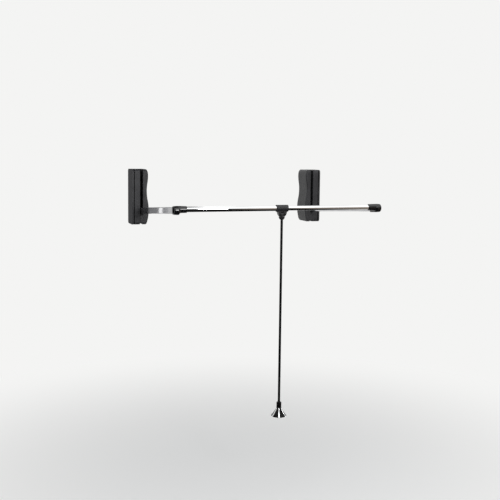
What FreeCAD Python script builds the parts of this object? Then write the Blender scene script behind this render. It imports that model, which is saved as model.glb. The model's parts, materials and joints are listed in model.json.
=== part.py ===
import FreeCAD, Part
import math
import os
import Sketcher

# Pull-down closet rod: two side housings, a spring-balanced swing frame and a hanging pull handle.
# X runs from the left side panel to the right one, Y into the wardrobe and Z up.
# The origin is on the left panel's face, where the swing axis meets it.
# The frame stands lowered, on its stops.

# Driving sizes in millimetres, angles in degrees, and plain counts
SIZES = {
    # Wardrobe and swing frame
    "clear_width": 940,
    "arm_length": 746,
    "rest_tilt": 4.2,
    # Clearances
    "seat_gap": 0.3,
    "running_gap": 0.05,
    "press_gap": 0.02,
    "overrun": 5,
    # Side housing
    "housing_depth": 110,
    "housing_below": 64.5,
    "housing_above": 192,
    "housing_corner": 14,
    "shell_wall": 2.5,
    "edge_round": 3,
    "cover_round": 6,
    "plate_thick": 3,
    "screw_hole_radius": 2.6,
    "screw_side_inset": 13,
    "screw_end_inset": 18,
    "tray_width": 11,
    "tray_wall": 2.7,
    "parting_width": 4,
    "parting_depth": 1.8,
    "ledge_thick": 2,
    "ledge_reach": 6,
    "case_width": 26,
    "slot_width": 13,
    "cover_bulge": 27.5,
    # Pivot
    "shaft_radius": 6,
    "shaft_tail": 3.5,
    "shaft_hole_gap": 1,
    "bush_flange": 2,
    "bush_flange_step": 3,
    "bush_wall": 3,
    "bush_length": 8,
    "ring_thick": 1.1,
    "ring_width": 4,
    "ring_slit": 6,
    "groove_depth": 1,
    "bracket_thick": 3,
    "bracket_height": 50,
    "bracket_web_gap": 9,
    "bracket_cheek_margin": 4,
    # Rack, pinion and spring
    "gear_module": 2,
    "gear_teeth": 14,
    "pinion_gap": 1,
    "pinion_width": 12,
    "rack_thick": 9.5,
    "crosshead_gap": 6,
    "crosshead_thick": 10,
    "guide_wall": 3,
    "guide_depth": 16,
    "guide_top_gap": 8,
    "guide_tail": 2,
    "line_offset": 20,
    "anchor_drop": 32,
    "anchor_thick": 4,
    "anchor_margin": 7,
    "stem_radius": 3,
    "stem_depth": 8,
    "head_radius": 5,
    "head_thick": 3,
    "plug_flange": 3,
    "plug_clearance": 0.5,
    "plug_length": 15,
    "coil_radius": 7.2,
    "wire_radius": 1.1,
    "coil_turns": 22,
    "damper_radius": 8.5,
    "damper_wall": 1.7,
    "damper_cap": 4,
    "damper_gap": 9,
    "piston_gap": 15,
    "piston_length": 8,
    # Arms and elbows
    "arm_height": 28,
    "arm_drop": 3.5,
    "arm_thick": 11,
    "arm_wall": 1.5,
    "arm_corner": 3.5,
    "hub_side_gap": 1,
    "arm_start": 16,
    "hub_tongue": 56,
    "stop_thick": 5,
    "stop_length": 22,
    "stop_side_gap": 2,
    "sill_setback": 28,
    "upper_stop_rise": 120,
    "upper_stop_length": 30,
    "elbow_corner_wall": 6.5,
    "elbow_outboard": 15.5,
    "elbow_round": 6,
    "elbow_shoulder_length": 13,
    "elbow_taper": 6,
    "elbow_draft": 0.8,
    "elbow_sleeve": 27,
    "elbow_mouth_wall": 2.7,
    "elbow_floor": 1,
    "socket_wall": 3.5,
    "socket_length": 46,
    "socket_corner": 5,
    # Hanging rod
    "rod_radius": 10.5,
    "rod_wall": 1.25,
    "inner_wall": 1.2,
    "rod_overlap": 200,
    "plug_rim": 3,
    "plug_spigot": 12,
    "reducer_lip": 2,
    # Centre collar
    "collar_offset": 3,
    "collar_length": 49,
    "collar_wall": 3.5,
    "collar_lip": 4.5,
    "cheek_top_half": 19,
    "cheek_low_half": 12.5,
    "cheek_side_radius": 60,
    "cheek_radius": 10,
    "tongue_width": 11.2,
    "tongue_gap": 0.4,
    "pin_drop": 22,
    "pin_radius": 3,
    "pin_half": 15,
    "screw_radius": 1.5,
    "screw_head_radius": 2.3,
    "screw_head": 2.6,
    "screw_reach": 5,
    "screw_below_pin": 6.2,
    "screw_seat": 2.6,
    "screw_offset": 10,
    # Pull handle
    "tongue_recess": 2,
    "socket_radius": 12.5,
    "socket_low_radius": 7.6,
    "socket_side_radius": 16,
    "socket_gap": 0.6,
    "pull_socket_length": 12.4,
    "socket_bore": 9,
    "pull_radius": 5,
    "pull_drop": 794,
    "grip_collar_length": 24,
    "grip_skirt_height": 34,
    "grip_collar_radius": 10,
    "grip_top_round": 2,
    "grip_base_radius": 31,
    "grip_wall": 2.5,
    "pull_floor": 6,
    "rib_thick": 1.4,
    "rib_width": 5,
    "rib_count": 6,
    "rib_turn": 13,
}

# The inner cover swells twice: places up the housing, and reach beyond the slot, as shares
LOWER_BULGE_SHARE = 0.26
WAIST_SHARE = 0.61
UPPER_BULGE_SHARE = 0.89
BOTTOM_REACH_SHARE = 0.58
WAIST_REACH_SHARE = 0.67
UPPER_REACH_SHARE = 0.89
TOP_REACH_SHARE = 0.64

# The cover's rounded edge stays within this many of its walls
COVER_ROUND_SHARE = 2.5

# Gear teeth in modules: radius from the pitch circle, then half the tooth's thickness there
PINION_FLANK_SHARES = [(-1.25, 0.62), (-0.25, 0.7), (1.0, 0.22)]
RACK_TIP_SHARE = 0.8
RACK_ROOT_SHARE = 1.25
RACK_HALF_TOOTH_SHARE = 0.72
PRESSURE_ANGLE = 20
RACK_TEETH_BELOW = 5
RACK_TEETH_ABOVE = 1

# The grip's skirt bends inwards a little halfway down, as shares of its flare and height
SKIRT_WAIST_SHARE = 0.45
SKIRT_WAIST_DROP_SHARE = 0.5

# Closest that two places are told apart, and the angle from level to upright
TOUCH = 0.001
UPRIGHT = 90

X_AXIS = FreeCAD.Vector(1, 0, 0)
Y_AXIS = FreeCAD.Vector(0, 1, 0)
Z_AXIS = FreeCAD.Vector(0, 0, 1)

doc = FreeCAD.newDocument("PullDownClosetRod")
sheet = doc.addObject("Spreadsheet::Sheet", "Sizes")


class Size:
    """A number together with the spreadsheet formula that it comes from."""

    def __init__(self, value, text):
        self.value = float(value)
        self.text = text

    def __add__(self, other):
        return Size(self.value + number(other), f"({self.text} + {words(other)})")

    def __radd__(self, other):
        return Size(number(other) + self.value, f"({words(other)} + {self.text})")

    def __sub__(self, other):
        return Size(self.value - number(other), f"({self.text} - {words(other)})")

    def __rsub__(self, other):
        return Size(number(other) - self.value, f"({words(other)} - {self.text})")

    def __mul__(self, other):
        return Size(self.value * number(other), f"({self.text} * {words(other)})")

    __rmul__ = __mul__

    def __truediv__(self, other):
        return Size(self.value / number(other), f"({self.text} / {words(other)})")

    def __rtruediv__(self, other):
        return Size(number(other) / self.value, f"({words(other)} / {self.text})")

    def __neg__(self):
        return Size(-self.value, f"(0 - {self.text})")


def number(size):
    return size.value if isinstance(size, Size) else float(size)


def words(size):
    return size.text if isinstance(size, Size) else repr(float(size))


def sine(angle):
    return Size(math.sin(math.radians(angle.value)), f"sin({angle.text})")


def cosine(angle):
    return Size(math.cos(math.radians(angle.value)), f"cos({angle.text})")


class Sheet:
    """The driving sizes, each one a named cell of the spreadsheet."""

    def __init__(self, table):
        for row, (name, value) in enumerate(table.items(), start=1):
            sheet.set(f"A{row}", name)
            sheet.set(f"B{row}", str(value))
            sheet.setAlias(f"B{row}", name)
            setattr(self, name, Size(value, f"Sizes.{name}"))


s = Sheet(SIZES)
doc.recompute()

# Places that several pieces share, measured from the left panel and from the swing axis
slot_near = s.tray_width + s.case_width
slot_far = slot_near + s.slot_width
liner_far = slot_far + s.shell_wall
arm_middle = slot_near + s.slot_width / 2
arm_face = s.arm_height / 2 + s.seat_gap
slot_back = arm_face + s.stop_thick
lower_pad_top = -(arm_face + s.arm_drop)
upper_pad_face = arm_face - s.arm_drop
liner_back = slot_back + s.shell_wall
housing_height = s.housing_below + s.housing_above
ledge_inset = s.tray_wall + s.ledge_reach
swing = -s.rest_tilt

# Pivot
bush_radius = s.shaft_radius + s.bush_wall
bush_flange_radius = bush_radius + s.bush_flange_step
bracket_web = liner_back + s.bracket_web_gap
cheek_far = liner_far + s.bracket_thick
ring_near = cheek_far + s.bush_flange + s.seat_gap
ring_far = ring_near + s.ring_thick + s.press_gap * 2

# Rack and pinion: the rack rises by its travel while the arms swing up to the vertical
pitch_radius = s.gear_module * s.gear_teeth / 2
rack_travel = pitch_radius * (UPRIGHT - s.rest_tilt) * math.radians(1)
pinion_start = s.plate_thick + s.bush_length + s.pinion_gap
rack_root = pitch_radius + s.gear_module * RACK_ROOT_SHARE
rack_back = rack_root + s.rack_thick
rack_tail = s.gear_module * (math.pi * (RACK_TEETH_BELOW + 1))
crosshead_low = pitch_radius + s.gear_module + s.crosshead_gap
crosshead_top = crosshead_low + s.crosshead_thick

# Spring and damper lines, in front of the pinion and behind it
line_middle = pinion_start + s.pinion_width / 2
anchor_rise = s.housing_above - s.anchor_drop
plug_radius = s.coil_radius - s.wire_radius - s.plug_clearance
plug_flange_radius = s.coil_radius + s.wire_radius
damper_low = crosshead_top + rack_travel + s.damper_gap
damper_bore = s.damper_radius - s.damper_wall
piston_high = anchor_rise - s.damper_cap - s.piston_gap - rack_travel

# Hanging rod and elbows
rod_back = -s.arm_length * cosine(s.rest_tilt)
rod_rise = s.arm_length * sine(s.rest_tilt)
elbow_radius = s.rod_radius + s.elbow_corner_wall
elbow_mouth_radius = s.rod_radius + s.elbow_mouth_wall
elbow_far = arm_middle - s.elbow_outboard
elbow_shoulder = elbow_far + s.elbow_round + s.elbow_shoulder_length
elbow_sleeve_near = elbow_shoulder + s.elbow_taper
elbow_mouth = elbow_sleeve_near + s.elbow_sleeve
tube_seat = arm_middle + s.arm_thick / 2 + s.elbow_floor
inner_radius = s.rod_radius - s.rod_wall - s.running_gap

# Centre collar and pull handle
collar_radius = s.rod_radius + s.collar_wall
collar_middle = s.clear_width / 2 + s.collar_offset
collar_near = collar_middle - s.collar_length / 2
collar_far = collar_middle + s.collar_length / 2
outer_tube_end = collar_far - s.collar_lip
inner_tube_start = outer_tube_end - s.rod_overlap
lock_place = collar_far - s.collar_lip / 2
tongue_radius = s.cheek_radius - s.tongue_recess
socket_high = -(s.pin_drop + s.cheek_radius + s.socket_gap)
socket_low = socket_high - s.pull_socket_length
grip_neck_drop = s.pull_drop + s.grip_collar_length
grip_base_drop = grip_neck_drop + s.grip_skirt_height

nodes = {}


def bind(thing, place, size):
    thing.setExpression(place, words(size))


def put(thing, at=(0, 0, 0), turn=None, axis=X_AXIS):
    """Place a thing at a spot, turned about one axis through that spot."""
    thing.Placement = FreeCAD.Placement(FreeCAD.Vector(), FreeCAD.Rotation(axis, 0))
    for letter, size in zip("xyz", at):
        bind(thing, f"Placement.Base.{letter}", size)
    if turn is not None:
        bind(thing, "Placement.Rotation.Angle", turn)
    return thing


def keep(label, thing):
    """Give a finished sub-part the name of its node."""
    thing.Label = label
    nodes[label] = thing
    return thing


# Sketches and the bodies made from them

def spot_of(pair):
    return FreeCAD.Vector(number(pair[0]), number(pair[1]), 0)


def lock(drawing, edge, end, pair):
    """Fix one point of a sketch at a pair of sizes."""
    for kind, size in zip(("DistanceX", "DistanceY"), pair):
        index = drawing.addConstraint(Sketcher.Constraint(kind, edge, end, number(size)))
        bind(drawing, f"Constraints[{index}]", size)


def lock_radius(drawing, edge, size):
    index = drawing.addConstraint(Sketcher.Constraint("Radius", edge, number(size)))
    bind(drawing, f"Constraints[{index}]", size)


def arc_between(start, finish, radius, left):
    """The short arc between two points, bending round a centre to the left or right of the way."""
    chord = finish.sub(start)
    side = FreeCAD.Vector(-chord.y, chord.x, 0).normalize()
    rise = math.sqrt(max(radius ** 2 - (chord.Length / 2) ** 2, 0))
    centre = start.add(chord * 0.5).add(side * (rise if left else -rise))
    first, last = (start, finish) if left else (finish, start)
    angles = [math.atan2(p.y - centre.y, p.x - centre.x) for p in (first, last)]
    return Part.ArcOfCircle(Part.Circle(centre, Z_AXIS, radius), *angles)


def outline(drawing, corners):
    """Draw a closed outline. A corner may add a radius for the arc that leaves it,
    and whether that arc bends to the left."""
    base = drawing.GeometryCount
    count = len(corners)
    ends = []
    for index, corner in enumerate(corners):
        here = spot_of(corner)
        there = spot_of(corners[(index + 1) % count])
        if len(corner) == 2:
            drawing.addGeometry(Part.LineSegment(here, there))
            ends.append((1, 2))
        else:
            drawing.addGeometry(arc_between(here, there, number(corner[2]), corner[3]))
            ends.append((1, 2) if corner[3] else (2, 1))
    for index, corner in enumerate(corners):
        after = (index + 1) % count
        join = (base + index, ends[index][1], base + after, ends[after][0])
        drawing.addConstraint(Sketcher.Constraint("Coincident", *join))
        lock(drawing, base + index, ends[index][0], corner)
        if len(corner) > 2:
            lock_radius(drawing, base + index, corner[2])


def ring(drawing, centre, radius):
    edge = drawing.addGeometry(Part.Circle(spot_of(centre), Z_AXIS, number(radius)))
    lock_radius(drawing, edge, radius)
    lock(drawing, edge, 3, centre)


def inner_round(radius, inset):
    """Radius of a corner inside another one, positive for any wall."""
    return radius * radius / (radius + inset)


def rectangle(left, low, right, high):
    return [(left, low), (right, low), (right, high), (left, high)]


def rounded(left, low, right, high, radius):
    """Corners of a rectangle with rounded corners."""
    return [
        (left + radius, low),
        (right - radius, low, radius, True),
        (right, low + radius),
        (right, high - radius, radius, True),
        (right - radius, high),
        (left + radius, high, radius, True),
        (left, high - radius),
        (left, low + radius, radius, True),
    ]


def new_body(name):
    return doc.addObject("PartDesign::Body", name)


def sketch(body, role, lift=0):
    """A sketch on one of the body's own planes, lifted along that plane's normal."""
    drawing = body.newObject("Sketcher::SketchObject", f"{body.Name}_sketch")
    plane = next(item for item in body.Origin.OriginFeatures if item.Role == role)
    drawing.AttachmentSupport = [(plane, "")]
    drawing.MapMode = "FlatFace"
    bind(drawing, "AttachmentOffset.Base.z", lift)
    return drawing


def pad(body, role, lift, length, outlines, rings=()):
    """Pad closed outlines and circles; inner ones are openings."""
    drawing = sketch(body, role, lift)
    for corners in outlines:
        outline(drawing, corners)
    for centre, radius in rings:
        ring(drawing, centre, radius)
    feature = body.newObject("PartDesign::Pad", f"{body.Name}_pad")
    feature.Profile = drawing
    bind(feature, "Length", length)
    doc.recompute()
    return body


def prism(name, role, lift, length, outlines, rings=()):
    return pad(new_body(name), role, lift, length, outlines, rings)


def turned(name, corners, axis="V_Axis"):
    """Turn a profile about the upright axis, or about X with H_Axis."""
    body = new_body(name)
    drawing = sketch(body, "XZ_Plane" if axis == "V_Axis" else "XY_Plane")
    outline(drawing, corners)
    feature = body.newObject("PartDesign::Revolution", f"{name}_turn")
    feature.Profile = drawing
    feature.ReferenceAxis = (drawing, [axis])
    feature.Angle = 360
    doc.recompute()
    return body


# Plain solids and their sums

def box(name, low, high):
    thing = doc.addObject("Part::Box", name)
    for place, near, far in zip(("Length", "Width", "Height"), low, high):
        bind(thing, place, far - near)
    return put(thing, low)


def bar(name, axis, at, radius, length):
    """A round bar from a spot along X, Y or Z."""
    turns = {"X": FreeCAD.Rotation(Y_AXIS, 90), "Y": FreeCAD.Rotation(X_AXIS, -90), "Z": FreeCAD.Rotation()}
    thing = doc.addObject("Part::Cylinder", name)
    bind(thing, "Radius", radius)
    bind(thing, "Height", length)
    put(thing, at)
    thing.Placement = FreeCAD.Placement(thing.Placement.Base, turns[axis])
    return thing


def fuse(name, *pieces):
    thing = doc.addObject("Part::MultiFuse", name)
    thing.Shapes = list(pieces)
    return thing


def cut(name, base, *tools):
    thing = doc.addObject("Part::Cut", name)
    thing.Base = base
    thing.Tool = tools[0] if len(tools) == 1 else fuse(f"{name}_tools", *tools)
    return thing


def common(name, first, second):
    thing = doc.addObject("Part::MultiCommon", name)
    thing.Shapes = [first, second]
    return thing


def edge_names(thing, wanted):
    """Names of the edges of a shape that a test picks."""
    return [f"Edge{index}" for index, edge in enumerate(thing.Shape.Edges, start=1) if wanted(edge)]


# Side housing

def housing_outline(inset=0):
    half = s.housing_depth / 2 - inset
    radius = inner_round(s.housing_corner, inset)
    return rounded(-half, inset - s.housing_below, half, s.housing_above - inset, radius)


def base_plate():
    middle = (s.housing_above - s.housing_below) / 2
    across = s.housing_depth / 2 - s.screw_side_inset
    up = housing_height / 2 - s.screw_end_inset
    spots = [(across * side, middle + up * end) for side in (-1, 1) for end in (-1, 1)]
    holes = [(spot, s.screw_hole_radius) for spot in spots]
    inset = s.tray_wall + s.seat_gap
    return prism("base_plate", "YZ_Plane", 0, s.plate_thick, [housing_outline(inset)], holes)


def base_tray():
    """Moulded rim round the plate, with a ledge on it and a groove below the case."""
    wall = [housing_outline(), housing_outline(s.tray_wall)]
    ledge = [housing_outline(s.tray_wall / 2), housing_outline(ledge_inset)]
    neck = [housing_outline(s.parting_depth), housing_outline(s.parting_depth + s.tray_wall)]
    body = prism("base_tray", "YZ_Plane", 0, s.tray_width - s.parting_width, wall)
    pad(body, "YZ_Plane", s.plate_thick, s.ledge_thick, ledge)
    neck_start = s.plate_thick + s.ledge_thick / 2
    return pad(body, "YZ_Plane", neck_start, s.tray_width - neck_start, neck)


def bracket_opening():
    near = bracket_web - s.seat_gap
    far = bracket_web + s.bracket_thick + s.seat_gap
    half = s.bracket_height / 2 + s.seat_gap
    return rectangle(near, -half, far, half)


def case():
    """Moulded cover of the mechanism, closed towards the arm's slot."""
    walls = [housing_outline(), housing_outline(s.shell_wall)]
    floor = [housing_outline(s.shell_wall / 2), bracket_opening()]
    hole = ((0, 0), s.shaft_radius + s.shaft_hole_gap)
    body = prism("case", "YZ_Plane", s.tray_width, s.case_width, walls)
    pad(body, "YZ_Plane", slot_near - s.shell_wall, s.shell_wall, floor, [hole])
    raw = body.Tip
    soft = body.newObject("PartDesign::Fillet", "case_round")
    soft.Base = (raw, outer_rim(raw, number(slot_near)))
    bind(soft, "Radius", s.edge_round)
    doc.recompute()
    return body


def outer_rim(thing, far):
    """Edges round the outside of the widest flat face at a distance from the panel."""
    faces = [face for face in thing.Shape.Faces if abs(face.CenterOfMass.x - far) < TOUCH]
    widest = max(faces, key=lambda face: face.OuterWire.Length)
    rim = widest.OuterWire.Edges
    return edge_names(thing, lambda edge: any(edge.isSame(other) for other in rim))


def slot_liner():
    """Back, inner wall and sill of the slot that the arm swings in."""
    half = s.housing_depth / 2
    low = -s.housing_below
    high = s.housing_above
    pad_low = lower_pad_top - s.stop_thick
    wall = box("liner_wall", (slot_far, -half, low), (liner_far, liner_back, high))
    back = box("liner_back", (slot_near, slot_back, low), (slot_far, liner_back, high))
    front = box("liner_front", (slot_near, -half, low), (slot_far, s.shell_wall - half, pad_low))
    shelf = rectangle(-half - s.overrun, pad_low - s.shell_wall, -s.sill_setback, pad_low)
    sill = put(prism("liner_sill", "YZ_Plane", slot_near, s.slot_width, [shelf]), turn=swing)
    walls = fuse("liner_walls", wall, back, front, sill)
    whole = prism("liner_outline", "YZ_Plane", slot_near, liner_far - slot_near, [housing_outline()])
    trimmed = common("liner_trimmed", whole, walls)
    at = (slot_far - s.overrun, 0, 0)
    hole = bar("liner_hole", "X", at, s.shaft_radius + s.shaft_hole_gap, s.shell_wall + s.overrun * 2)
    return cut("slot_liner", trimmed, hole)


def wave(inset=0):
    """Side outline of the inner cover: a swelling, a waist and a second swelling."""

    def spot(reach_share, rise_share):
        reach = slot_far + s.cover_bulge * reach_share - inset
        return (reach, housing_height * rise_share - s.housing_below)

    bottom = spot(BOTTOM_REACH_SHARE, 0)
    lower = spot(1, LOWER_BULGE_SHARE)
    waist = spot(WAIST_REACH_SHARE, WAIST_SHARE)
    upper = spot(UPPER_REACH_SHARE, UPPER_BULGE_SHARE)
    top = spot(TOP_REACH_SHARE, 1)
    return [
        (slot_near, bottom[1]),
        (*bottom, quarter_radius(bottom, lower), True),
        (*lower, quarter_radius(lower, middle_of(lower, waist)), True),
        (*middle_of(lower, waist), quarter_radius(lower, middle_of(lower, waist)), False),
        (*waist, quarter_radius(waist, middle_of(waist, upper)), False),
        (*middle_of(waist, upper), quarter_radius(waist, middle_of(waist, upper)), True),
        (*upper, quarter_radius(upper, top), True),
        top,
        (slot_near, top[1]),
    ]


def middle_of(first, second):
    return ((first[0] + second[0]) / 2, (first[1] + second[1]) / 2)


def quarter_radius(crest, end):
    """Radius of the arc that runs upright at a crest and passes through an end point."""
    across = crest[0] - end[0]
    along = crest[1] - end[1]
    size = (along * along + across * across) / (across * 2)
    return size if size.value > 0 else -size


def wave_solid(name, inset):
    half = s.housing_depth / 2
    return prism(name, "XZ_Plane", -half, s.housing_depth, [wave(inset)])


def inner_cover():
    """Wavy moulded cover over the inner bearing and behind the slot."""
    deep = s.slot_width + s.cover_bulge + s.overrun
    half = s.housing_depth / 2
    block = prism("cover_block", "YZ_Plane", slot_near, deep, [housing_outline()])
    raw = common("cover_raw", block, wave_solid("cover_wave", 0))
    doc.recompute()
    soft = doc.addObject("Part::Fillet", "cover_soft")
    soft.Base = raw
    radius = min(number(s.cover_round), number(s.shell_wall) * COVER_ROUND_SHARE)
    soft.Edges = [(index, radius, radius) for index in brow_edges(raw.Shape)]
    inside = [housing_outline(s.shell_wall)]
    hollow = prism("cover_hollow_block", "YZ_Plane", slot_near - s.overrun, deep, inside)
    bulge = wave_solid("cover_hollow_wave", s.shell_wall)
    room = common("cover_hollow", hollow, bulge)
    front = (slot_near - s.overrun, -half - s.overrun, -s.housing_below - s.overrun)
    back = (liner_far, liner_back, s.housing_above + s.overrun)
    return cut("inner_cover", soft, room, box("cover_slot", front, back))


def brow_edges(shape):
    """Edges where the wavy face meets the sides of the cover."""
    names = []
    near = number(slot_near)
    for index, edge in enumerate(shape.Edges, start=1):
        sides = [face for face in shape.Faces if any(edge.isSame(other) for other in face.Edges)]
        upright = [side for side in sides if abs(side.normalAt(0.5, 0.5).x) < TOUCH]
        if len(upright) == 1 and edge.BoundBox.XMin > near + TOUCH:
            names.append(index)
    return names


# Pivot, bearings and stops

def bearing_bracket():
    """Steel bracket that reaches behind the slot and carries the inner bush."""
    thick = s.bracket_thick
    web = bracket_web
    cheek = -(bush_flange_radius + s.bracket_cheek_margin)
    foot = s.housing_depth / 2 - ledge_inset - s.seat_gap
    corners = [
        (s.plate_thick, web),
        (liner_far, web),
        (liner_far, cheek),
        (cheek_far, cheek),
        (cheek_far, web + thick),
        (s.plate_thick + thick, web + thick),
        (s.plate_thick + thick, foot),
        (s.plate_thick, foot),
    ]
    plate = prism("bracket_plate", "XY_Plane", -s.bracket_height / 2, s.bracket_height, [corners])
    at = (liner_far - s.overrun, 0, 0)
    return cut("bearing_bracket", plate, bar("bracket_hole", "X", at, bush_radius, thick + s.overrun * 2))


def outer_bush():
    near = s.plate_thick
    bore = s.shaft_radius + s.running_gap
    corners = [
        (near, bore),
        (near + s.bush_length, bore),
        (near + s.bush_length, bush_radius),
        (near + s.bush_flange, bush_radius),
        (near + s.bush_flange, bush_flange_radius),
        (near, bush_flange_radius),
    ]
    return turned("outer_bush", corners, "H_Axis")


def inner_bush():
    bore = s.shaft_radius + s.running_gap
    barrel = bush_radius - s.press_gap
    corners = [
        (liner_far, bore),
        (cheek_far + s.bush_flange, bore),
        (cheek_far + s.bush_flange, bush_flange_radius),
        (cheek_far, bush_flange_radius),
        (cheek_far, barrel),
        (liner_far, barrel),
    ]
    return turned("inner_bush", corners, "H_Axis")


def pivot_shaft():
    near = s.plate_thick + s.seat_gap
    far = ring_far + s.shaft_tail
    groove = s.shaft_radius - s.groove_depth
    corners = [
        (near, 0),
        (far, 0),
        (far, s.shaft_radius),
        (ring_far, s.shaft_radius),
        (ring_far, groove),
        (ring_near, groove),
        (ring_near, s.shaft_radius),
        (near, s.shaft_radius),
    ]
    return turned("pivot_shaft", corners, "H_Axis")


def retaining_ring():
    inner = s.shaft_radius - s.groove_depth + s.press_gap
    outer = inner + s.ring_width
    rings = [((0, 0), outer), ((0, 0), inner)]
    whole = prism("ring_whole", "YZ_Plane", ring_near + s.press_gap, s.ring_thick, [], rings)
    half = s.ring_slit / 2
    low = (ring_near - s.overrun, -half, -outer - s.overrun)
    return cut("retaining_ring", whole, box("ring_slit", low, (ring_far + s.overrun, half, 0)))


def arm_stops():
    """Rubber pads: one under the lowered arm, one behind the raised arm."""
    near = slot_near + s.stop_side_gap
    far = slot_far - s.stop_side_gap
    front = -(s.sill_setback + s.stop_length)
    rubber = rectangle(front, lower_pad_top - s.stop_thick, -s.sill_setback, lower_pad_top)
    lower = put(prism("lower_stop", "YZ_Plane", near, far - near, [rubber]), turn=swing)
    rise = s.upper_stop_rise
    upper = box("upper_stop", (near, upper_pad_face, rise), (far, slot_back, rise + s.upper_stop_length))
    return fuse("arm_stops", lower, upper)


# Rack and pinion, spring and damper

def pinion():
    """Spur gear on the pivot shaft."""
    module = s.gear_module
    teeth = round(s.gear_teeth.value)
    tip = module * (teeth / 2 + PINION_FLANK_SHARES[-1][0])
    bore = s.shaft_radius + s.press_gap
    body = prism("pinion", "YZ_Plane", pinion_start, s.pinion_width, [], [((0, 0), tip), ((0, 0), bore)])
    flank = []
    for rise_share, half_tooth_share in PINION_FLANK_SHARES:
        radius_share = teeth / 2 + rise_share
        angle = math.pi / teeth - half_tooth_share / radius_share
        flank.append((radius_share * math.cos(angle), radius_share * math.sin(angle)))
    beyond = [2 * last - before for before, last in zip(flank[-2], flank[-1])]
    flank[-1] = tuple(beyond)
    corners = [(-module * across, -module * up) for across, up in flank]
    corners += [(-module * across, module * up) for across, up in reversed(flank)]
    drawing = sketch(body, "YZ_Plane", pinion_start + s.pinion_width)
    outline(drawing, corners)
    gap = body.newObject("PartDesign::Pocket", "pinion_gap")
    gap.Profile = drawing
    bind(gap, "Length", s.pinion_width)
    doc.recompute()
    ring_of_gaps = body.newObject("PartDesign::PolarPattern", "pinion_gaps")
    ring_of_gaps.Originals = [gap]
    ring_of_gaps.Axis = (drawing, ["N_Axis"])
    ring_of_gaps.Angle = 360
    ring_of_gaps.setExpression("Occurrences", words(s.gear_teeth))
    body.Tip = ring_of_gaps
    doc.recompute()
    return body


def rack():
    """Toothed bar in front of the pinion, with a crosshead over it."""
    module = s.gear_module
    lean = math.tan(math.radians(PRESSURE_ANGLE))
    root = -rack_root
    tip = module * RACK_TIP_SHARE - pitch_radius
    root_half = module * (RACK_HALF_TOOTH_SHARE + RACK_ROOT_SHARE * lean)
    tip_half = module * (RACK_HALF_TOOTH_SHARE - RACK_TIP_SHARE * lean)
    back = -rack_back
    half = s.line_offset + plug_flange_radius
    corners = [(back, -rack_tail), (root, -rack_tail)]
    for index in range(-RACK_TEETH_BELOW, RACK_TEETH_ABOVE + 1):
        middle = module * (math.pi * index)
        corners.append((root, middle - root_half))
        corners.append((tip, middle - tip_half))
        corners.append((tip, middle + tip_half))
        corners.append((root, middle + root_half))
    corners += [(root, crosshead_low), (half, crosshead_low), (half, crosshead_top)]
    corners += [(-half, crosshead_top), (-half, crosshead_low), (back, crosshead_low)]
    bar_of_teeth = prism("rack_bar", "YZ_Plane", pinion_start, s.pinion_width, [corners])
    radius = s.stem_radius + s.press_gap
    seats = [
        bar(f"rack_seat_{side:+d}", "Z", (line_middle, s.line_offset * side, crosshead_top - s.stem_depth),
            radius, s.stem_depth + s.overrun)
        for side in (-1, 1)
    ]
    return cut("rack", bar_of_teeth, *seats)


def rack_guide():
    """Plastic channel that holds the rack against the pinion."""
    gap = s.seat_gap
    back = -(rack_back + gap)
    low = back - s.guide_depth / 2
    high = low + s.guide_depth
    near = pinion_start - gap
    far = pinion_start + s.pinion_width + gap
    corners = [
        (s.plate_thick, low),
        (far + s.guide_wall, low),
        (far + s.guide_wall, high),
        (far, high),
        (far, back),
        (near, back),
        (near, high),
        (s.plate_thick, high),
    ]
    bottom = -(rack_tail + s.guide_tail)
    height = crosshead_low - s.guide_top_gap - bottom
    return prism("rack_guide", "XY_Plane", bottom, height, [corners])


def spring_anchor():
    """Steel angle on the base plate that the spring and the damper hang from."""
    low = anchor_rise
    high = low + s.anchor_thick
    top = s.housing_above - ledge_inset - s.seat_gap
    near = s.plate_thick
    far = line_middle + s.head_radius + s.anchor_margin
    half = s.line_offset + s.head_radius + s.anchor_margin
    corners = [
        (near, low),
        (far, low),
        (far, high),
        (near + s.anchor_thick, high),
        (near + s.anchor_thick, top),
        (near, top),
    ]
    angle = prism("anchor_angle", "XZ_Plane", -half, half * 2, [corners])
    radius = s.stem_radius + s.press_gap
    holes = [
        bar(f"anchor_hole_{side:+d}", "Z", (line_middle, s.line_offset * side, low - s.overrun),
            radius, s.anchor_thick + s.overrun * 2)
        for side in (-1, 1)
    ]
    return cut("spring_anchor", angle, *holes)


def stem_up():
    """Profile of a stem through the anchor, with its head on top."""
    low = anchor_rise
    high = low + s.anchor_thick
    return [
        (s.stem_radius, low),
        (s.stem_radius, high),
        (s.head_radius, high),
        (s.head_radius, high + s.head_thick),
        (0, high + s.head_thick),
    ]


def spring_upper_plug():
    low = anchor_rise - s.plug_flange
    corners = [
        (0, low - s.plug_length),
        (plug_radius, low - s.plug_length),
        (plug_radius, low),
        (plug_flange_radius, low),
        (plug_flange_radius, anchor_rise),
    ]
    return put(turned("spring_upper_plug", corners + stem_up()), (line_middle, -s.line_offset, 0))


def spring_lower_plug():
    high = crosshead_top + s.plug_flange
    corners = [
        (0, crosshead_top - s.stem_depth),
        (s.stem_radius, crosshead_top - s.stem_depth),
        (s.stem_radius, crosshead_top),
        (plug_flange_radius, crosshead_top),
        (plug_flange_radius, high),
        (plug_radius, high),
        (plug_radius, high + s.plug_length),
        (0, high + s.plug_length),
    ]
    return put(turned("spring_lower_plug", corners), (line_middle, -s.line_offset, 0))


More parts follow.
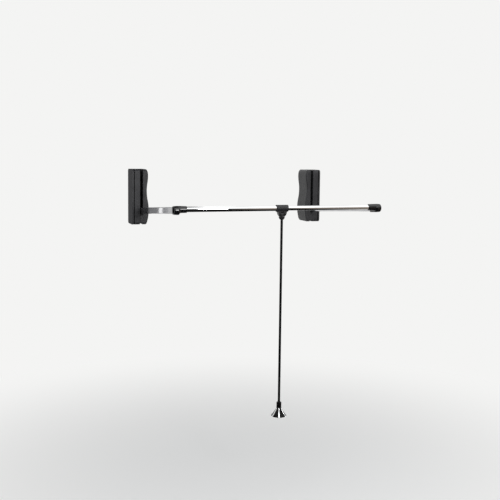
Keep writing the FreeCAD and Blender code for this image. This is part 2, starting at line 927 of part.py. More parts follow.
def spring():
    """Tension spring, stretched while the frame is down."""
    low = crosshead_top + s.plug_flange + s.wire_radius + s.seat_gap
    high = anchor_rise - s.plug_flange - s.wire_radius - s.seat_gap
    coil = doc.addObject("Part::Helix", "spring_path")
    bind(coil, "Radius", s.coil_radius)
    bind(coil, "Height", high - low)
    bind(coil, "Pitch", (high - low) / s.coil_turns)
    wire = doc.addObject("Part::Circle", "spring_wire")
    bind(wire, "Radius", s.wire_radius)
    wire.Placement = FreeCAD.Placement(FreeCAD.Vector(), FreeCAD.Rotation(X_AXIS, 90))
    bind(wire, "Placement.Base.x", s.coil_radius)
    doc.recompute()
    swept = doc.addObject("Part::Sweep", "spring")
    swept.Sections = [wire]
    swept.Spine = (coil, [f"Edge{index + 1}" for index in range(len(coil.Shape.Edges))])
    swept.Solid = True
    swept.Frenet = True
    return put(swept, (line_middle, -s.line_offset, low))


def damper_cylinder():
    bore = s.stem_radius + s.running_gap
    low = damper_low
    corners = [
        (bore, low),
        (s.damper_radius, low),
        (s.damper_radius, anchor_rise),
    ]
    inside = [
        (0, anchor_rise - s.damper_cap),
        (damper_bore, anchor_rise - s.damper_cap),
        (damper_bore, low + s.damper_cap),
        (bore, low + s.damper_cap),
    ]
    return put(turned("damper_cylinder", corners + stem_up() + inside), (line_middle, s.line_offset, 0))


def damper_rod():
    low = crosshead_top - s.stem_depth
    piston_low = piston_high - s.piston_length
    corners = [
        (0, low),
        (s.stem_radius, low),
        (s.stem_radius, piston_low),
        (damper_bore - s.seat_gap, piston_low),
        (damper_bore - s.seat_gap, piston_high),
        (0, piston_high),
    ]
    return put(turned("damper_rod", corners), (line_middle, s.line_offset, 0))


# Swing frame

def arm_outline(grow, radius):
    """Section of the arm, grown by an amount; its middle is below the line from pivot to rod."""
    half_thick = s.arm_thick / 2 + grow
    half_high = s.arm_height / 2 + grow
    low = -half_high - s.arm_drop
    return rounded(arm_middle - half_thick, low, arm_middle + half_thick, half_high - s.arm_drop, radius)


def arm_section(grow=0):
    return arm_outline(grow, inner_round(s.arm_corner, -grow))


def hub():
    """Die-cast root of the arm, keyed on the shaft and plugged into the tube."""
    near = slot_near + s.hub_side_gap
    far = slot_far - s.hub_side_gap
    boss = bar("hub_boss", "X", (near, 0, 0), s.arm_height / 2, far - near)
    tongue = prism("hub_tongue", "XZ_Plane", 0, s.hub_tongue, [arm_section(-s.arm_wall - s.press_gap)])
    at = (near - s.overrun, 0, 0)
    bore = bar("hub_bore", "X", at, s.shaft_radius + s.press_gap, far - near + s.overrun * 2)
    return put(cut("hub", fuse("hub_casting", boss, tongue), bore), turn=swing)


def arm():
    """Flat-sided metal tube."""
    length = s.arm_length - s.arm_start - elbow_radius - s.seat_gap
    walls = [arm_section(), arm_section(-s.arm_wall)]
    return put(prism("arm", "XZ_Plane", s.arm_start, length, walls), turn=swing)


def elbow():
    """Moulded corner that joins the arm to the hanging rod."""
    block = [
        (elbow_far, 0),
        (elbow_sleeve_near, 0),
        (elbow_sleeve_near, elbow_mouth_radius),
        (elbow_shoulder, elbow_radius),
        (elbow_far + s.elbow_round, elbow_radius, s.elbow_round, True),
        (elbow_far, elbow_radius - s.elbow_round),
    ]
    corner = put(turned("elbow_corner", block, "H_Axis"), (0, 0, -s.arm_drop))
    mouth = [
        (arm_middle, 0),
        (elbow_mouth, 0),
        (elbow_mouth, elbow_mouth_radius),
        (arm_middle, elbow_mouth_radius + s.elbow_draft),
    ]
    sleeve = turned("elbow_sleeve", mouth, "H_Axis")
    socket = prism(
        "elbow_socket",
        "XZ_Plane",
        -s.socket_length,
        s.socket_length,
        [arm_outline(s.socket_wall, s.socket_corner), arm_section(s.press_gap)],
    )
    depth = elbow_mouth - tube_seat + s.overrun
    bore = bar("elbow_bore", "X", (tube_seat, 0, 0), s.rod_radius + s.press_gap, depth)
    whole = fuse("elbow_raw", corner, sleeve, socket)
    return put(cut("elbow", whole, bore), (0, rod_back, rod_rise), swing)


def at_rod(thing):
    """Place a piece made about the hanging rod's axis."""
    return put(thing, (0, rod_back, rod_rise))


def tube(name, start, finish, outer, inner):
    corners = [(start, inner), (finish, inner), (finish, outer), (start, outer)]
    return at_rod(turned(name, corners, "H_Axis"))


def rod_outer_tube():
    start = tube_seat + s.seat_gap
    return tube("rod_outer_tube", start, outer_tube_end, s.rod_radius, s.rod_radius - s.rod_wall)


def rod_inner_tube():
    finish = s.clear_width - tube_seat - s.seat_gap
    return tube("rod_inner_tube", inner_tube_start, finish, inner_radius, inner_radius - s.inner_wall)


def rod_inner_plug():
    """Gliding plug in the end of the inner tube."""
    spigot = inner_radius - s.inner_wall - s.press_gap
    corners = [
        (inner_tube_start - s.plug_rim, 0),
        (inner_tube_start + s.plug_spigot, 0),
        (inner_tube_start + s.plug_spigot, spigot),
        (inner_tube_start, spigot),
        (inner_tube_start, inner_radius),
        (inner_tube_start - s.plug_rim, inner_radius),
    ]
    return at_rod(turned("rod_inner_plug", corners, "H_Axis"))


def rod_reducer():
    """Sleeve that fills the right elbow round the thinner tube."""
    mouth = s.clear_width - elbow_mouth
    finish = s.clear_width - tube_seat - s.seat_gap
    bore = inner_radius + s.press_gap
    corners = [
        (mouth - s.reducer_lip, bore),
        (finish, bore),
        (finish, s.rod_radius),
        (mouth, s.rod_radius),
        (mouth, elbow_mouth_radius),
        (mouth - s.reducer_lip, elbow_mouth_radius),
    ]
    return at_rod(turned("rod_reducer", corners, "H_Axis"))


# Centre collar

def collar_whole():
    """Sleeve and cheeks of the collar, still in one."""
    sleeve = bar("collar_sleeve", "X", (collar_near, 0, 0), collar_radius, s.collar_length)
    top = s.cheek_top_half
    low = s.cheek_low_half
    floor = -(s.pin_drop + s.cheek_radius)
    bow = s.cheek_side_radius
    corners = [
        (collar_middle - low, floor),
        (collar_middle + low, floor, bow, True),
        (collar_middle + top, 0),
        (collar_middle - top, 0, bow, True),
    ]
    shield = prism("collar_shield", "XZ_Plane", -s.cheek_radius, s.cheek_radius * 2, [corners])
    nose_at = (collar_middle - top, 0, -s.pin_drop)
    nose = bar("cheek_nose", "X", nose_at, s.cheek_radius, top * 2)
    block_low = (collar_middle - top, -s.cheek_radius, -s.pin_drop)
    block = box("cheek_block", block_low, (collar_middle + top, s.cheek_radius, 0))
    cheeks = common("collar_cheeks", shield, fuse("cheek_shape", nose, block))
    bore_start = (collar_near - s.overrun, 0, 0)
    bore_length = s.collar_length - s.collar_lip + s.overrun
    bore = bar("collar_bore", "X", bore_start, s.rod_radius + s.press_gap, bore_length)
    lip = bar("collar_lip", "X", (collar_near, 0, 0), inner_radius + s.seat_gap, s.collar_length + s.overrun)
    half = s.tongue_width / 2 + s.tongue_gap
    roof = tongue_radius + s.tongue_gap - s.pin_drop
    gap_low = (collar_middle - half, -collar_radius - s.overrun, floor - s.overrun)
    gap = box("tongue_slot", gap_low, (collar_middle + half, collar_radius + s.overrun, roof))
    pin_at = (collar_middle - s.pin_half, 0, -s.pin_drop)
    pin = bar("pin_hole", "X", pin_at, s.pin_radius + s.press_gap, s.pin_half * 2)
    tools = [bore, lip, gap, pin] + screw_holes()
    return cut("collar_whole", fuse("collar_raw", sleeve, cheeks), *tools)


def screw_spots():
    return [(collar_middle + s.screw_offset * side, -(s.pin_drop + s.screw_below_pin)) for side in (-1, 1)]


def screw_holes():
    holes = []
    gap = s.press_gap
    for index, (across, drop) in enumerate(screw_spots()):
        shank_at = (across, -s.screw_reach - gap, drop)
        shank_length = s.screw_reach + s.screw_seat + s.overrun
        holes.append(bar(f"screw_hole_{index}", "Y", shank_at, s.screw_radius + gap, shank_length))
        head_at = (across, s.screw_seat, drop)
        holes.append(bar(f"head_hole_{index}", "Y", head_at, s.screw_head_radius + gap, collar_radius))
    lock_at = (lock_place, inner_radius, 0)
    holes.append(bar("lock_hole", "Y", lock_at, s.screw_radius + gap, collar_radius))
    return holes


def collar_half(name, whole, side):
    """Front half with side -1, rear half with side 1."""
    deep = collar_radius + s.overrun
    near, far = (-deep, 0) if side < 0 else (0, deep)
    low = (collar_near - s.overrun, near, -s.pin_drop - s.cheek_radius - s.overrun)
    high = (collar_far + s.overrun, far, collar_radius + s.overrun)
    return at_rod(common(name, whole, box(f"{name}_side", low, high)))


def collar_screws():
    """Two screws through the cheeks and the screw that locks the rod's length."""
    pieces = []
    for index, (across, drop) in enumerate(screw_spots()):
        shank_at = (across, -s.screw_reach, drop)
        shank = bar(f"shank_{index}", "Y", shank_at, s.screw_radius, s.screw_reach + s.screw_seat)
        head = bar(f"head_{index}", "Y", (across, s.screw_seat, drop), s.screw_head_radius, s.screw_head)
        pieces.append(fuse(f"collar_screw_{index}", shank, head))
    start = inner_radius + s.seat_gap
    lock_length = collar_radius - start
    pieces.append(bar("lock_screw", "Y", (lock_place, start, 0), s.screw_radius, lock_length))
    return at_rod(fuse("collar_screws", *pieces))


def handle_pin():
    inside = s.pin_half - s.press_gap
    at = (collar_middle - inside, rod_back, rod_rise - s.pin_drop)
    return bar("handle_pin", "X", at, s.pin_radius, inside * 2)


# Pull handle

def handle_tongue():
    """Swivel that hangs on the pin, with a socket for the pull rod."""
    radius = tongue_radius
    middle = -s.pin_drop
    foot = (socket_high + socket_low) / 2
    corners = [
        (-radius, foot),
        (radius, foot),
        (radius, middle, radius, True),
        (0, middle + radius, radius, True),
        (-radius, middle),
    ]
    hole = ((0, middle), s.pin_radius + s.running_gap)
    start = collar_middle - s.tongue_width / 2
    flat = prism("tongue_flat", "YZ_Plane", start, s.tongue_width, [corners], [hole])
    profile = [
        (0, socket_low),
        (s.socket_low_radius, socket_low, s.socket_side_radius, True),
        (s.socket_radius, socket_high),
        (0, socket_high),
    ]
    socket = put(turned("tongue_socket", profile), (collar_middle, 0, 0))
    bore_at = (collar_middle, 0, socket_low - s.overrun)
    bore = bar("tongue_bore", "Z", bore_at, s.pull_radius + s.press_gap, s.socket_bore + s.overrun)
    return at_rod(cut("handle_tongue", fuse("tongue_raw", flat, socket), bore))


def pull_rod():
    high = socket_low + s.socket_bore - s.seat_gap
    low = s.pull_floor + s.seat_gap - grip_neck_drop
    return bar("pull_rod", "Z", (collar_middle, rod_back, rod_rise + low), s.pull_radius, high - low)


def at_grip(thing):
    return put(thing, (collar_middle, rod_back, rod_rise))


def grip_collar():
    top = -s.pull_drop
    neck = -grip_neck_drop
    radius = s.grip_collar_radius
    bore = s.pull_radius + s.press_gap
    seat = neck + s.pull_floor
    corners = [
        (0, neck),
        (radius, neck),
        (radius, top - s.grip_top_round, s.grip_top_round, True),
        (radius - s.grip_top_round, top),
        (bore, top),
        (bore, seat),
        (0, seat),
    ]
    return at_grip(turned("grip_collar", corners))


def skirt_line(grow):
    """Outside of the skirt from neck to base, moved outwards by an amount."""
    flare = s.grip_base_radius - s.grip_collar_radius
    waist = s.grip_collar_radius + flare * SKIRT_WAIST_SHARE
    drop = grip_neck_drop + s.grip_skirt_height * SKIRT_WAIST_DROP_SHARE
    return [
        (s.grip_collar_radius + grow, -grip_neck_drop),
        (waist + grow, -drop),
        (s.grip_base_radius + grow, -grip_base_drop),
    ]


def grip_skirt():
    outside = skirt_line(0)
    inside = skirt_line(-s.grip_wall)
    roof = -grip_neck_drop - s.grip_wall
    corners = [(0, -grip_neck_drop), (0, roof), (inside[0][0], roof)] + inside[1:] + list(reversed(outside))
    return at_grip(turned("grip_skirt", corners))


def grip_ribs():
    """Bright strips laid down the skirt."""
    outside = skirt_line(s.rib_thick)
    inside = skirt_line(s.press_gap)
    shell = turned("rib_shell", inside + list(reversed(outside)))
    long = s.grip_base_radius + s.overrun
    half = s.rib_width / 2
    base = -grip_base_drop - s.overrun
    height = s.grip_skirt_height + s.overrun * 2
    blades = []
    for index in range(round(s.rib_count.value) // 2):
        blade = prism(f"rib_blade_{index}", "XY_Plane", base, height, [rectangle(-long, -half, long, half)])
        turn = UPRIGHT - s.rib_turn + 360 * index / s.rib_count
        blades.append(put(blade, turn=turn, axis=Z_AXIS))
    return at_grip(common("grip_ribs", shell, fuse("rib_blades", *blades)))


# Both sides: the right-hand pieces mirror the left-hand ones

SIDE_PIECES = [
    base_plate,
    base_tray,
    case,
    slot_liner,
    inner_cover,
    bearing_bracket,
    outer_bush,
    inner_bush,
    arm_stops,
    spring_anchor,
    spring_upper_plug,
    damper_cylinder,
    rack_guide,
    spring,
    rack,
    spring_lower_plug,
    damper_rod,
    pivot_shaft,
    retaining_ring,
    pinion,
    hub,
    arm,
    elbow,
]
CENTRE_PIECES = [
    rod_outer_tube,
    rod_inner_tube,
    rod_inner_plug,
    rod_reducer,
    collar_screws,
    handle_pin,
    handle_tongue,
    pull_rod,
    grip_collar,
    grip_skirt,
    grip_ribs,
]


def mirrored(thing, label):
    copy = doc.addObject("Part::Mirroring", label)
    copy.Source = thing
    copy.Normal = X_AXIS
    bind(copy, "Base.x", s.clear_width / 2)
    return copy


for make in SIDE_PIECES:
    piece = keep(f"left_{make.__name__}", make())
    keep(f"right_{make.__name__}", mirrored(piece, f"right_{make.__name__}"))
for make in CENTRE_PIECES:
    keep(make.__name__, make())
collar = collar_whole()
for name, side in (("collar_front", -1), ("collar_rear", 1)):
    keep(name, collar_half(name, collar, side))
doc.recompute()

# Nothing is written unless every object is sound
for thing in doc.Objects:
    if "Invalid" in thing.State or "Error" in thing.State:
        raise RuntimeError(f"{thing.Label} failed: {thing.State}")
for label, thing in nodes.items():
    if thing.Shape.isNull() or not thing.Shape.isValid():
        raise RuntimeError(f"{label} has no valid shape")

os.makedirs("parts", exist_ok=True)
for label, thing in nodes.items():
    thing.Shape.exportStep(f"parts/{label}.step")
    print(f"{label}: {len(thing.Shape.Solids)} solid(s), {thing.Shape.Volume / 1000:.2f} cm3")
print(f"{len(nodes)} nodes written")
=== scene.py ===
import json
import math

import bmesh
import bpy
from mathutils import Matrix, Vector


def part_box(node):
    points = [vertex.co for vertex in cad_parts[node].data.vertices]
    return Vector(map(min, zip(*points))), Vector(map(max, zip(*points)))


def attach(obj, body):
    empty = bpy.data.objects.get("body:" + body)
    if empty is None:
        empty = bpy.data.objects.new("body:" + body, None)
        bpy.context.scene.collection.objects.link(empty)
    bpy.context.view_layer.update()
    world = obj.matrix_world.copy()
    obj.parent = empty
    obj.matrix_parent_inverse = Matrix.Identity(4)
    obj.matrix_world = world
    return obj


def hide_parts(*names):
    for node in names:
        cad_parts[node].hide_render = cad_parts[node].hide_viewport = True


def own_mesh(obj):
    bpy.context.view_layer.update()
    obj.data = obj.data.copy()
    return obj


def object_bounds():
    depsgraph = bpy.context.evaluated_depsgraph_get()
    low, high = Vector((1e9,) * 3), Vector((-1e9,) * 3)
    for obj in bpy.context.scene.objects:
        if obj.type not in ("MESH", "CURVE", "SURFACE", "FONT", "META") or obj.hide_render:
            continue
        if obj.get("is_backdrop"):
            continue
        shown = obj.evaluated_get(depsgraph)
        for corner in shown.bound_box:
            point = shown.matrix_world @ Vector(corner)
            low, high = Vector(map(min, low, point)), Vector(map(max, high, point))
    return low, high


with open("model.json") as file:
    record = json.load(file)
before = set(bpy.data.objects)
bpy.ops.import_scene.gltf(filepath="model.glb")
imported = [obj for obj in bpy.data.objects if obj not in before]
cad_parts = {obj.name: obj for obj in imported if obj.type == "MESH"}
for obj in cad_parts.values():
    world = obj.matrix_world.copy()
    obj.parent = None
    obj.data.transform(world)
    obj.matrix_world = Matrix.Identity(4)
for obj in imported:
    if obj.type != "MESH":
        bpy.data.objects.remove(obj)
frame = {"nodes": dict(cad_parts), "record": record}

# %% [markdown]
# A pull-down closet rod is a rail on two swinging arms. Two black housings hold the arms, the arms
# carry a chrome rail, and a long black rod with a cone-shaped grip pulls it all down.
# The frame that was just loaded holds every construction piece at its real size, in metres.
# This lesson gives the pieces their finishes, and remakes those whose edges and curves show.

MM = 0.001
SIDES = ("left", "right")
nodes = frame["nodes"]
cad_low, cad_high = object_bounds()
print("construction size in mm:", [round(length / MM) for length in cad_high - cad_low])

# %% [markdown]
# Every finish is a tree of shader nodes, and a few helpers keep the trees readable. One turns the
# colour codes of a paint chart into the linear light that a renderer adds up. One adds a node,
# sets it and links it. The third builds what nearly all real surfaces share: broad clouds of
# tone, and a fine grain that changes the gloss and the height. Painted pictures could do that too,
# but noise that is measured in millimetres fits every piece, at any size.

# %% Helpers for finishes
CLOUD_DETAIL, CLOUD_STOPS = 4.0, (0.35, 0.65)
GRAIN_DETAIL, GRAIN_LOW, GRAIN_HIGH = 2.0, 0.3, 0.7


def linear(hex_code):
    """Linear colour of an sRGB hex code such as 1f1f21."""
    channels = [int(hex_code[i:i + 2], 16) / 255 for i in (0, 2, 4)]
    light = [c / 12.92 if c <= 0.04045 else ((c + 0.055) / 1.055) ** 2.4 for c in channels]
    return (*light, 1.0)


def add(tree, kind, inputs=None, **settings):
    """Add a node, set its properties, and fill each input with a value, a link or many links."""
    node = tree.nodes.new(kind)
    for name, value in settings.items():
        setattr(node, name, value)
    for name, value in (inputs or {}).items():
        sources = value if isinstance(value, list) else [value]
        if isinstance(sources[0], bpy.types.NodeSocket):
            for source in sources:
                tree.links.new(source, node.inputs[name])
        else:
            node.inputs[name].default_value = value
    return node


def finish(name, tones, cloud_mm, gloss, grain_mm, relief_mm, turn=0, **fixed):
    """A material: two tones in clouds, and a grain that sets roughness and height.

    grain_mm is the grain's size along X, Y and Z, turned about X by degrees."""
    material = bpy.data.materials.new(name)
    material.use_nodes = True
    tree = material.node_tree
    shader = tree.nodes["Principled BSDF"]
    for socket, value in fixed.items():
        shader.inputs[socket.replace("_", " ")].default_value = value
    place = add(tree, "ShaderNodeTexCoord").outputs["Object"]
    cloud = add(tree, "ShaderNodeTexNoise", {
        "Vector": place, "Scale": 1 / (cloud_mm * MM), "Detail": CLOUD_DETAIL})
    tone = add(tree, "ShaderNodeValToRGB", {"Fac": cloud.outputs["Fac"]})
    for stop, position, tint in zip(tone.color_ramp.elements, CLOUD_STOPS, tones):
        stop.position = position
        stop.color = linear(tint)
    laid = add(tree, "ShaderNodeMapping", {
        "Vector": place, "Rotation": (math.radians(turn), 0, 0),
        "Scale": [size * MM for size in grain_mm]}, vector_type="TEXTURE")
    grain = add(tree, "ShaderNodeTexNoise", {
        "Vector": laid.outputs["Vector"], "Scale": 1.0, "Detail": GRAIN_DETAIL})
    rough = add(tree, "ShaderNodeMapRange", {
        "Value": grain.outputs["Fac"], "From Min": GRAIN_LOW, "From Max": GRAIN_HIGH,
        "To Min": gloss[0], "To Max": gloss[1]})
    relief = add(tree, "ShaderNodeBump", {
        "Height": grain.outputs["Fac"], "Distance": relief_mm * MM})
    tree.links.new(tone.outputs["Color"], shader.inputs["Base Color"])
    tree.links.new(rough.outputs["Result"], shader.inputs["Roughness"])
    tree.links.new(relief.outputs["Normal"], shader.inputs["Normal"])
    return material


print("helpers ready")

# %% [markdown]
# The housings are moulded in black ABS. Their steel mould is spark eroded, which leaves a fine
# even grain. It spreads the highlights, so the black looks dark grey wherever light falls on it.
# The real grain is about a third of a millimetre. It is drawn three times coarser, so that it
# shows. The groove where two mouldings meet gets a near-black finish: painted shade, standing in
# for the shadow inside the groove.

# %% Spark-eroded black ABS
ABS_GRAIN = (1.0, 1.0, 1.0)
housing_abs = finish(
    "spark_eroded_black_abs", ("2e2e30", "38383a"), cloud_mm=40, gloss=(0.36, 0.5),
    grain_mm=ABS_GRAIN, relief_mm=0.02, IOR=1.53, Specular_IOR_Level=0.17)
# Near-black paint for the groove faces: painted shade, not a different plastic.
shadow_gap = finish(
    "unpolished_black_abs", ("060606", "0b0b0c"), cloud_mm=12, gloss=(0.75, 0.9),
    grain_mm=ABS_GRAIN, relief_mm=0.03, IOR=1.53, Specular_IOR_Level=0.1)
print("made", housing_abs.name, shadow_gap.name)

# %% [markdown]
# The elbows come from a polished mould, so they are deep black and glossy. Even a polished part has
# faint flow marks and a slight orange peel, which bend and soften its highlights. The collar and
# the grip have the same peel with duller gloss, so one grain size serves all three.
# The pull rod is a steel tube with stove enamel: black too, but satin, with a little dust in it.

# %% Black nylon, grip plastic and stove enamel
PEEL = (3.0, 3.0, 3.0)
ENAMEL_DUST = (1.2, 1.2, 2.4)
black_nylon = finish(
    "polished_black_nylon", ("09090a", "101012"), cloud_mm=14, gloss=(0.06, 0.13),
    grain_mm=PEEL, relief_mm=0.008, IOR=1.53, Specular_IOR_Level=0.42)
# The collar has a semi-gloss mould: a little greyer than the elbows, so its shape shows.
collar_nylon = finish(
    "semi_gloss_black_nylon", ("1c1c1e", "262628"), cloud_mm=14, gloss=(0.2, 0.32),
    grain_mm=PEEL, relief_mm=0.01, IOR=1.53, Specular_IOR_Level=0.3)
# The grip is moulded in a softer, satin plastic: it stays black where the elbows shine.
satin_grip = finish(
    "satin_black_grip_plastic", ("070708", "0d0d0e"), cloud_mm=14, gloss=(0.28, 0.4),
    grain_mm=PEEL, relief_mm=0.012, IOR=1.5, Specular_IOR_Level=0.12)
black_enamel = finish(
    "black_stove_enamel", ("060607", "0b0b0c"), cloud_mm=30, gloss=(0.34, 0.46),
    grain_mm=ENAMEL_DUST, relief_mm=0.01, IOR=1.5, Specular_IOR_Level=0.09)
print("made", black_nylon.name, collar_nylon.name, satin_grip.name, black_enamel.name)

# %% [markdown]
# The rail is drawn steel tube under bright chrome. Chrome is a mirror: the eye sees the room drawn
# out along the tube, white above and dark below. Drawing leaves faint lines along its length; they
# are a tenth of a millimetre apart on a real tube, and drawn far coarser here, so that they show.
# The arms are flat tube with satin nickel, whose brush lines run along the tilted arm and blur
# what it mirrors. The grip's strips are bright chromed plastic.

# %% Chrome and nickel plate
DRAW_LINES = (260, 1.6, 1.6)
BRUSH_LINES = (1.2, 140, 1.2)
STRIP_LINES = (2.0, 2.0, 18)
ARM_TILT = -4.2
rail_chrome = finish(
    "polished_chrome_plate", ("eef0f1", "f5f6f7"), cloud_mm=90, gloss=(0.02, 0.06),
    grain_mm=DRAW_LINES, relief_mm=0.001, Metallic=1.0)
arm_nickel = finish(
    "satin_nickel_plate", ("bdbdbf", "c9c9cb"), cloud_mm=60, gloss=(0.07, 0.14),
    grain_mm=BRUSH_LINES, relief_mm=0.002, turn=ARM_TILT, Metallic=1.0)
strip_chrome = finish(
    "chromed_abs_strip", ("e6e8ea", "f2f3f4"), cloud_mm=8, gloss=(0.06, 0.14),
    grain_mm=STRIP_LINES, relief_mm=0.004, Metallic=1.0)
print("made", rail_chrome.name, arm_nickel.name, strip_chrome.name)

# %% [markdown]
# Inside the housings are workshop finishes. Most of them only show when a cover comes off, but
# each gets its own, because a part that is taken apart should still look made of something.
# Plating and castings are metals with cloudy tones; acetal and rubber differ mostly in gloss.

# %% Metals of the mechanism
FINE = (0.8, 0.8, 0.8)
SPANGLE = (2.5, 2.5, 2.5)
CAST_SKIN = (1.1, 1.1, 1.1)
# Zinc plate has a cloudy spangle, and a die casting a dull, grainy skin.
zinc_plate = finish(
    "zinc_plated_steel", ("a9adb3", "c2c6cb"), cloud_mm=7, gloss=(0.26, 0.42),
    grain_mm=SPANGLE, relief_mm=0.01, Metallic=1.0)
cast_zinc = finish(
    "die_cast_zinc", ("84878b", "979a9e"), cloud_mm=9, gloss=(0.4, 0.58),
    grain_mm=CAST_SKIN, relief_mm=0.05, Metallic=1.0)
# Sintered bronze is full of fine pores, and spring steel is dark with oil.
bronze = finish(
    "sintered_bronze", ("946732", "b58549"), cloud_mm=3, gloss=(0.38, 0.6),
    grain_mm=FINE, relief_mm=0.04, Metallic=1.0)
spring_steel = finish(
    "oiled_spring_steel", ("3c3d41", "55565b"), cloud_mm=5, gloss=(0.22, 0.36),
    grain_mm=FINE, relief_mm=0.01, Metallic=1.0)
print("made", zinc_plate.name, cast_zinc.name, bronze.name, spring_steel.name)

# %% Plastic, coating and rubber of the mechanism
# Acetal is milky and slightly waxy.
acetal = finish(
    "moulded_acetal", ("e3e1d8", "eceae3"), cloud_mm=12, gloss=(0.32, 0.44),
    grain_mm=FINE, relief_mm=0.015, IOR=1.48)
# The steel base plates and the dampers are dip coated: thick satin black with orange peel.
dip_coat = finish(
    "black_dip_coated_steel", ("0e0e10", "161618"), cloud_mm=16, gloss=(0.34, 0.46),
    grain_mm=PEEL, relief_mm=0.02, IOR=1.5)
# Rubber is dull: it gives no highlight at all.
stop_rubber = finish(
    "moulded_rubber", ("121212", "1c1c1b"), cloud_mm=6, gloss=(0.7, 0.85),
    grain_mm=FINE, relief_mm=0.05, IOR=1.52)
print("made", acetal.name, dip_coat.name, stop_rubber.name)

# %% [markdown]
# The construction says for each piece which slot its finish belongs in, and which body it moves
# with. So one table from slot to finish dresses every piece, without naming them one by one.

# %% Put a finish on every construction piece
FINISHES = {
    "housing_black": housing_abs, "gloss_black": black_nylon, "pull_black": black_enamel,
    "arm_steel": arm_nickel, "rod_chrome": rail_chrome, "strip_chrome": strip_chrome,
    "zinc_steel": zinc_plate, "spring_steel": spring_steel, "cast_hub": cast_zinc,
    "bronze": bronze, "acetal": acetal, "coated_black": dip_coat, "stop_rubber": stop_rubber,
}
slot_of = {row["node"]: row["material_slot"] for row in frame["record"]["subparts"]}
bodies = frame["record"]["behaviour"]["bodies"]
body_of = {name: body for body, names in bodies.items() for name in names}
for name, piece in nodes.items():
    piece.data.materials.clear()
    piece.data.materials.append(FINISHES[slot_of[name]])
print("dressed", len(nodes), "construction pieces")

# %% [markdown]
# New pieces that stand for construction pieces come next. Each is made in place, so its object
# stays at the origin, and each then rides on the body that its construction piece belongs to.
# A shape that follows a rule is drawn by a Geometry Nodes tree; a helper runs the tree once, with
# its sizes given by name, and keeps the result as a plain mesh that any program can read.

# %% Helpers for new pieces
def piece_from(name, mesh):
    """A new object in the scene, at the origin, with this mesh."""
    piece = bpy.data.objects.new(name, mesh)
    bpy.context.scene.collection.objects.link(piece)
    return piece


def stands_for(piece, *names):
    """Let a finished piece take the place of construction pieces of one body."""
    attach(piece, body_of[names[0]])
    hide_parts(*names)
    return piece


def as_plain_mesh(piece):
    """Keep what the modifiers make as the piece's own mesh."""
    made = piece.evaluated_get(bpy.context.evaluated_depsgraph_get())
    piece.data = bpy.data.meshes.new_from_object(made)
    piece.modifiers.clear()
    return piece


print("helpers for pieces ready")

# %% Helpers for Geometry Nodes trees
TREE_CREASE = math.radians(28)


def shape_tree(name, **inputs):
    """A Geometry Nodes tree with named inputs, and the sockets that give their values."""
    tree = bpy.data.node_groups.new(name, "GeometryNodeTree")
    tree.interface.new_socket("Geometry", in_out="OUTPUT", socket_type="NodeSocketGeometry")
    for label, kind in inputs.items():
        tree.interface.new_socket(label, in_out="INPUT", socket_type=f"NodeSocket{kind}")
    return tree, tree.nodes.new("NodeGroupInput").outputs


def close_tree(tree, shape, material):
    """End a tree: instances made real, smooth faces with sharp corners, one material."""
    real = add(tree, "GeometryNodeRealizeInstances", {"Geometry": shape})
    smooth = add(tree, "GeometryNodeSetShadeSmooth", {"Geometry": real.outputs["Geometry"]})
    angle = add(tree, "GeometryNodeInputMeshEdgeAngle").outputs["Unsigned Angle"]
    corner = add(tree, "FunctionNodeCompare", {"A": angle, "B": TREE_CREASE},
                 operation="GREATER_THAN")
    edges = add(tree, "GeometryNodeSetShadeSmooth", {
        "Geometry": smooth.outputs["Geometry"], "Selection": corner.outputs["Result"],
        "Shade Smooth": False}, domain="EDGE")
    coat = add(tree, "GeometryNodeSetMaterial", {
        "Geometry": edges.outputs["Geometry"], "Material": material})
    add(tree, "NodeGroupOutput", {"Geometry": coat.outputs["Geometry"]})


def grow(name, tree, **values):
    """Run a tree with these values and keep the result as a plain mesh."""
    piece = piece_from(name, bpy.data.meshes.new(name))
    modifier = piece.modifiers.new("shape", "NODES")
    modifier.node_group = tree
    for item in tree.interface.items_tree:
        if item.in_out == "INPUT":
            modifier[item.identifier] = values[item.name]
    return as_plain_mesh(piece)


print("helpers for trees ready")

# %% [markdown]
# The rail's tubes and the pull rod are the same shape at three sizes: a wall swept round a ring.
# Cylinder meshes would do at a distance, but their cut ends are knife sharp. Here the wall's
# section is a long rectangle with rounded corners, so the cut ends catch a thin light.
# A ring of 128 steps keeps the mirror finish free of flat spots.

# %% Drawn tubes
RING_STEPS = 128
END_ROUND, END_STEPS = 0.35 * MM, 3


def tube_tree():
    """A tube: its wall's section swept round a ring, then turned and moved to its place."""
    tree, given = shape_tree(
        "drawn_tube", Length="Float", Radius="Float", Wall="Float", Turn="Vector",
        Middle="Vector", Material="Material")
    half = add(tree, "ShaderNodeMath", {0: given["Wall"], 1: 0.5}, operation="MULTIPLY")
    middle = add(tree, "ShaderNodeMath", {0: given["Radius"], 1: half.outputs[0]},
                 operation="SUBTRACT")
    ring = add(tree, "GeometryNodeCurvePrimitiveCircle", {
        "Resolution": RING_STEPS, "Radius": middle.outputs[0]})
    wall = add(tree, "GeometryNodeCurvePrimitiveQuadrilateral", {
        "Width": given["Wall"], "Height": given["Length"]})
    soft = add(tree, "GeometryNodeFilletCurve", {
        "Curve": wall.outputs["Curve"], "Count": END_STEPS, "Radius": END_ROUND}, mode="POLY")
    swept = add(tree, "GeometryNodeCurveToMesh", {
        "Curve": ring.outputs["Curve"], "Profile Curve": soft.outputs["Curve"]})
    placed = add(tree, "GeometryNodeTransform", {
        "Geometry": swept.outputs["Mesh"], "Translation": given["Middle"],
        "Rotation": given["Turn"]})
    close_tree(tree, placed.outputs["Geometry"], given["Material"])
    return tree


drawn_tube = tube_tree()
print("tree", drawn_tube.name, "has", len(drawn_tube.nodes), "nodes")

# %% Rail tubes and pull rod
ALONG_X, UPRIGHT = (0, math.pi / 2, 0), (0, 0, 0)
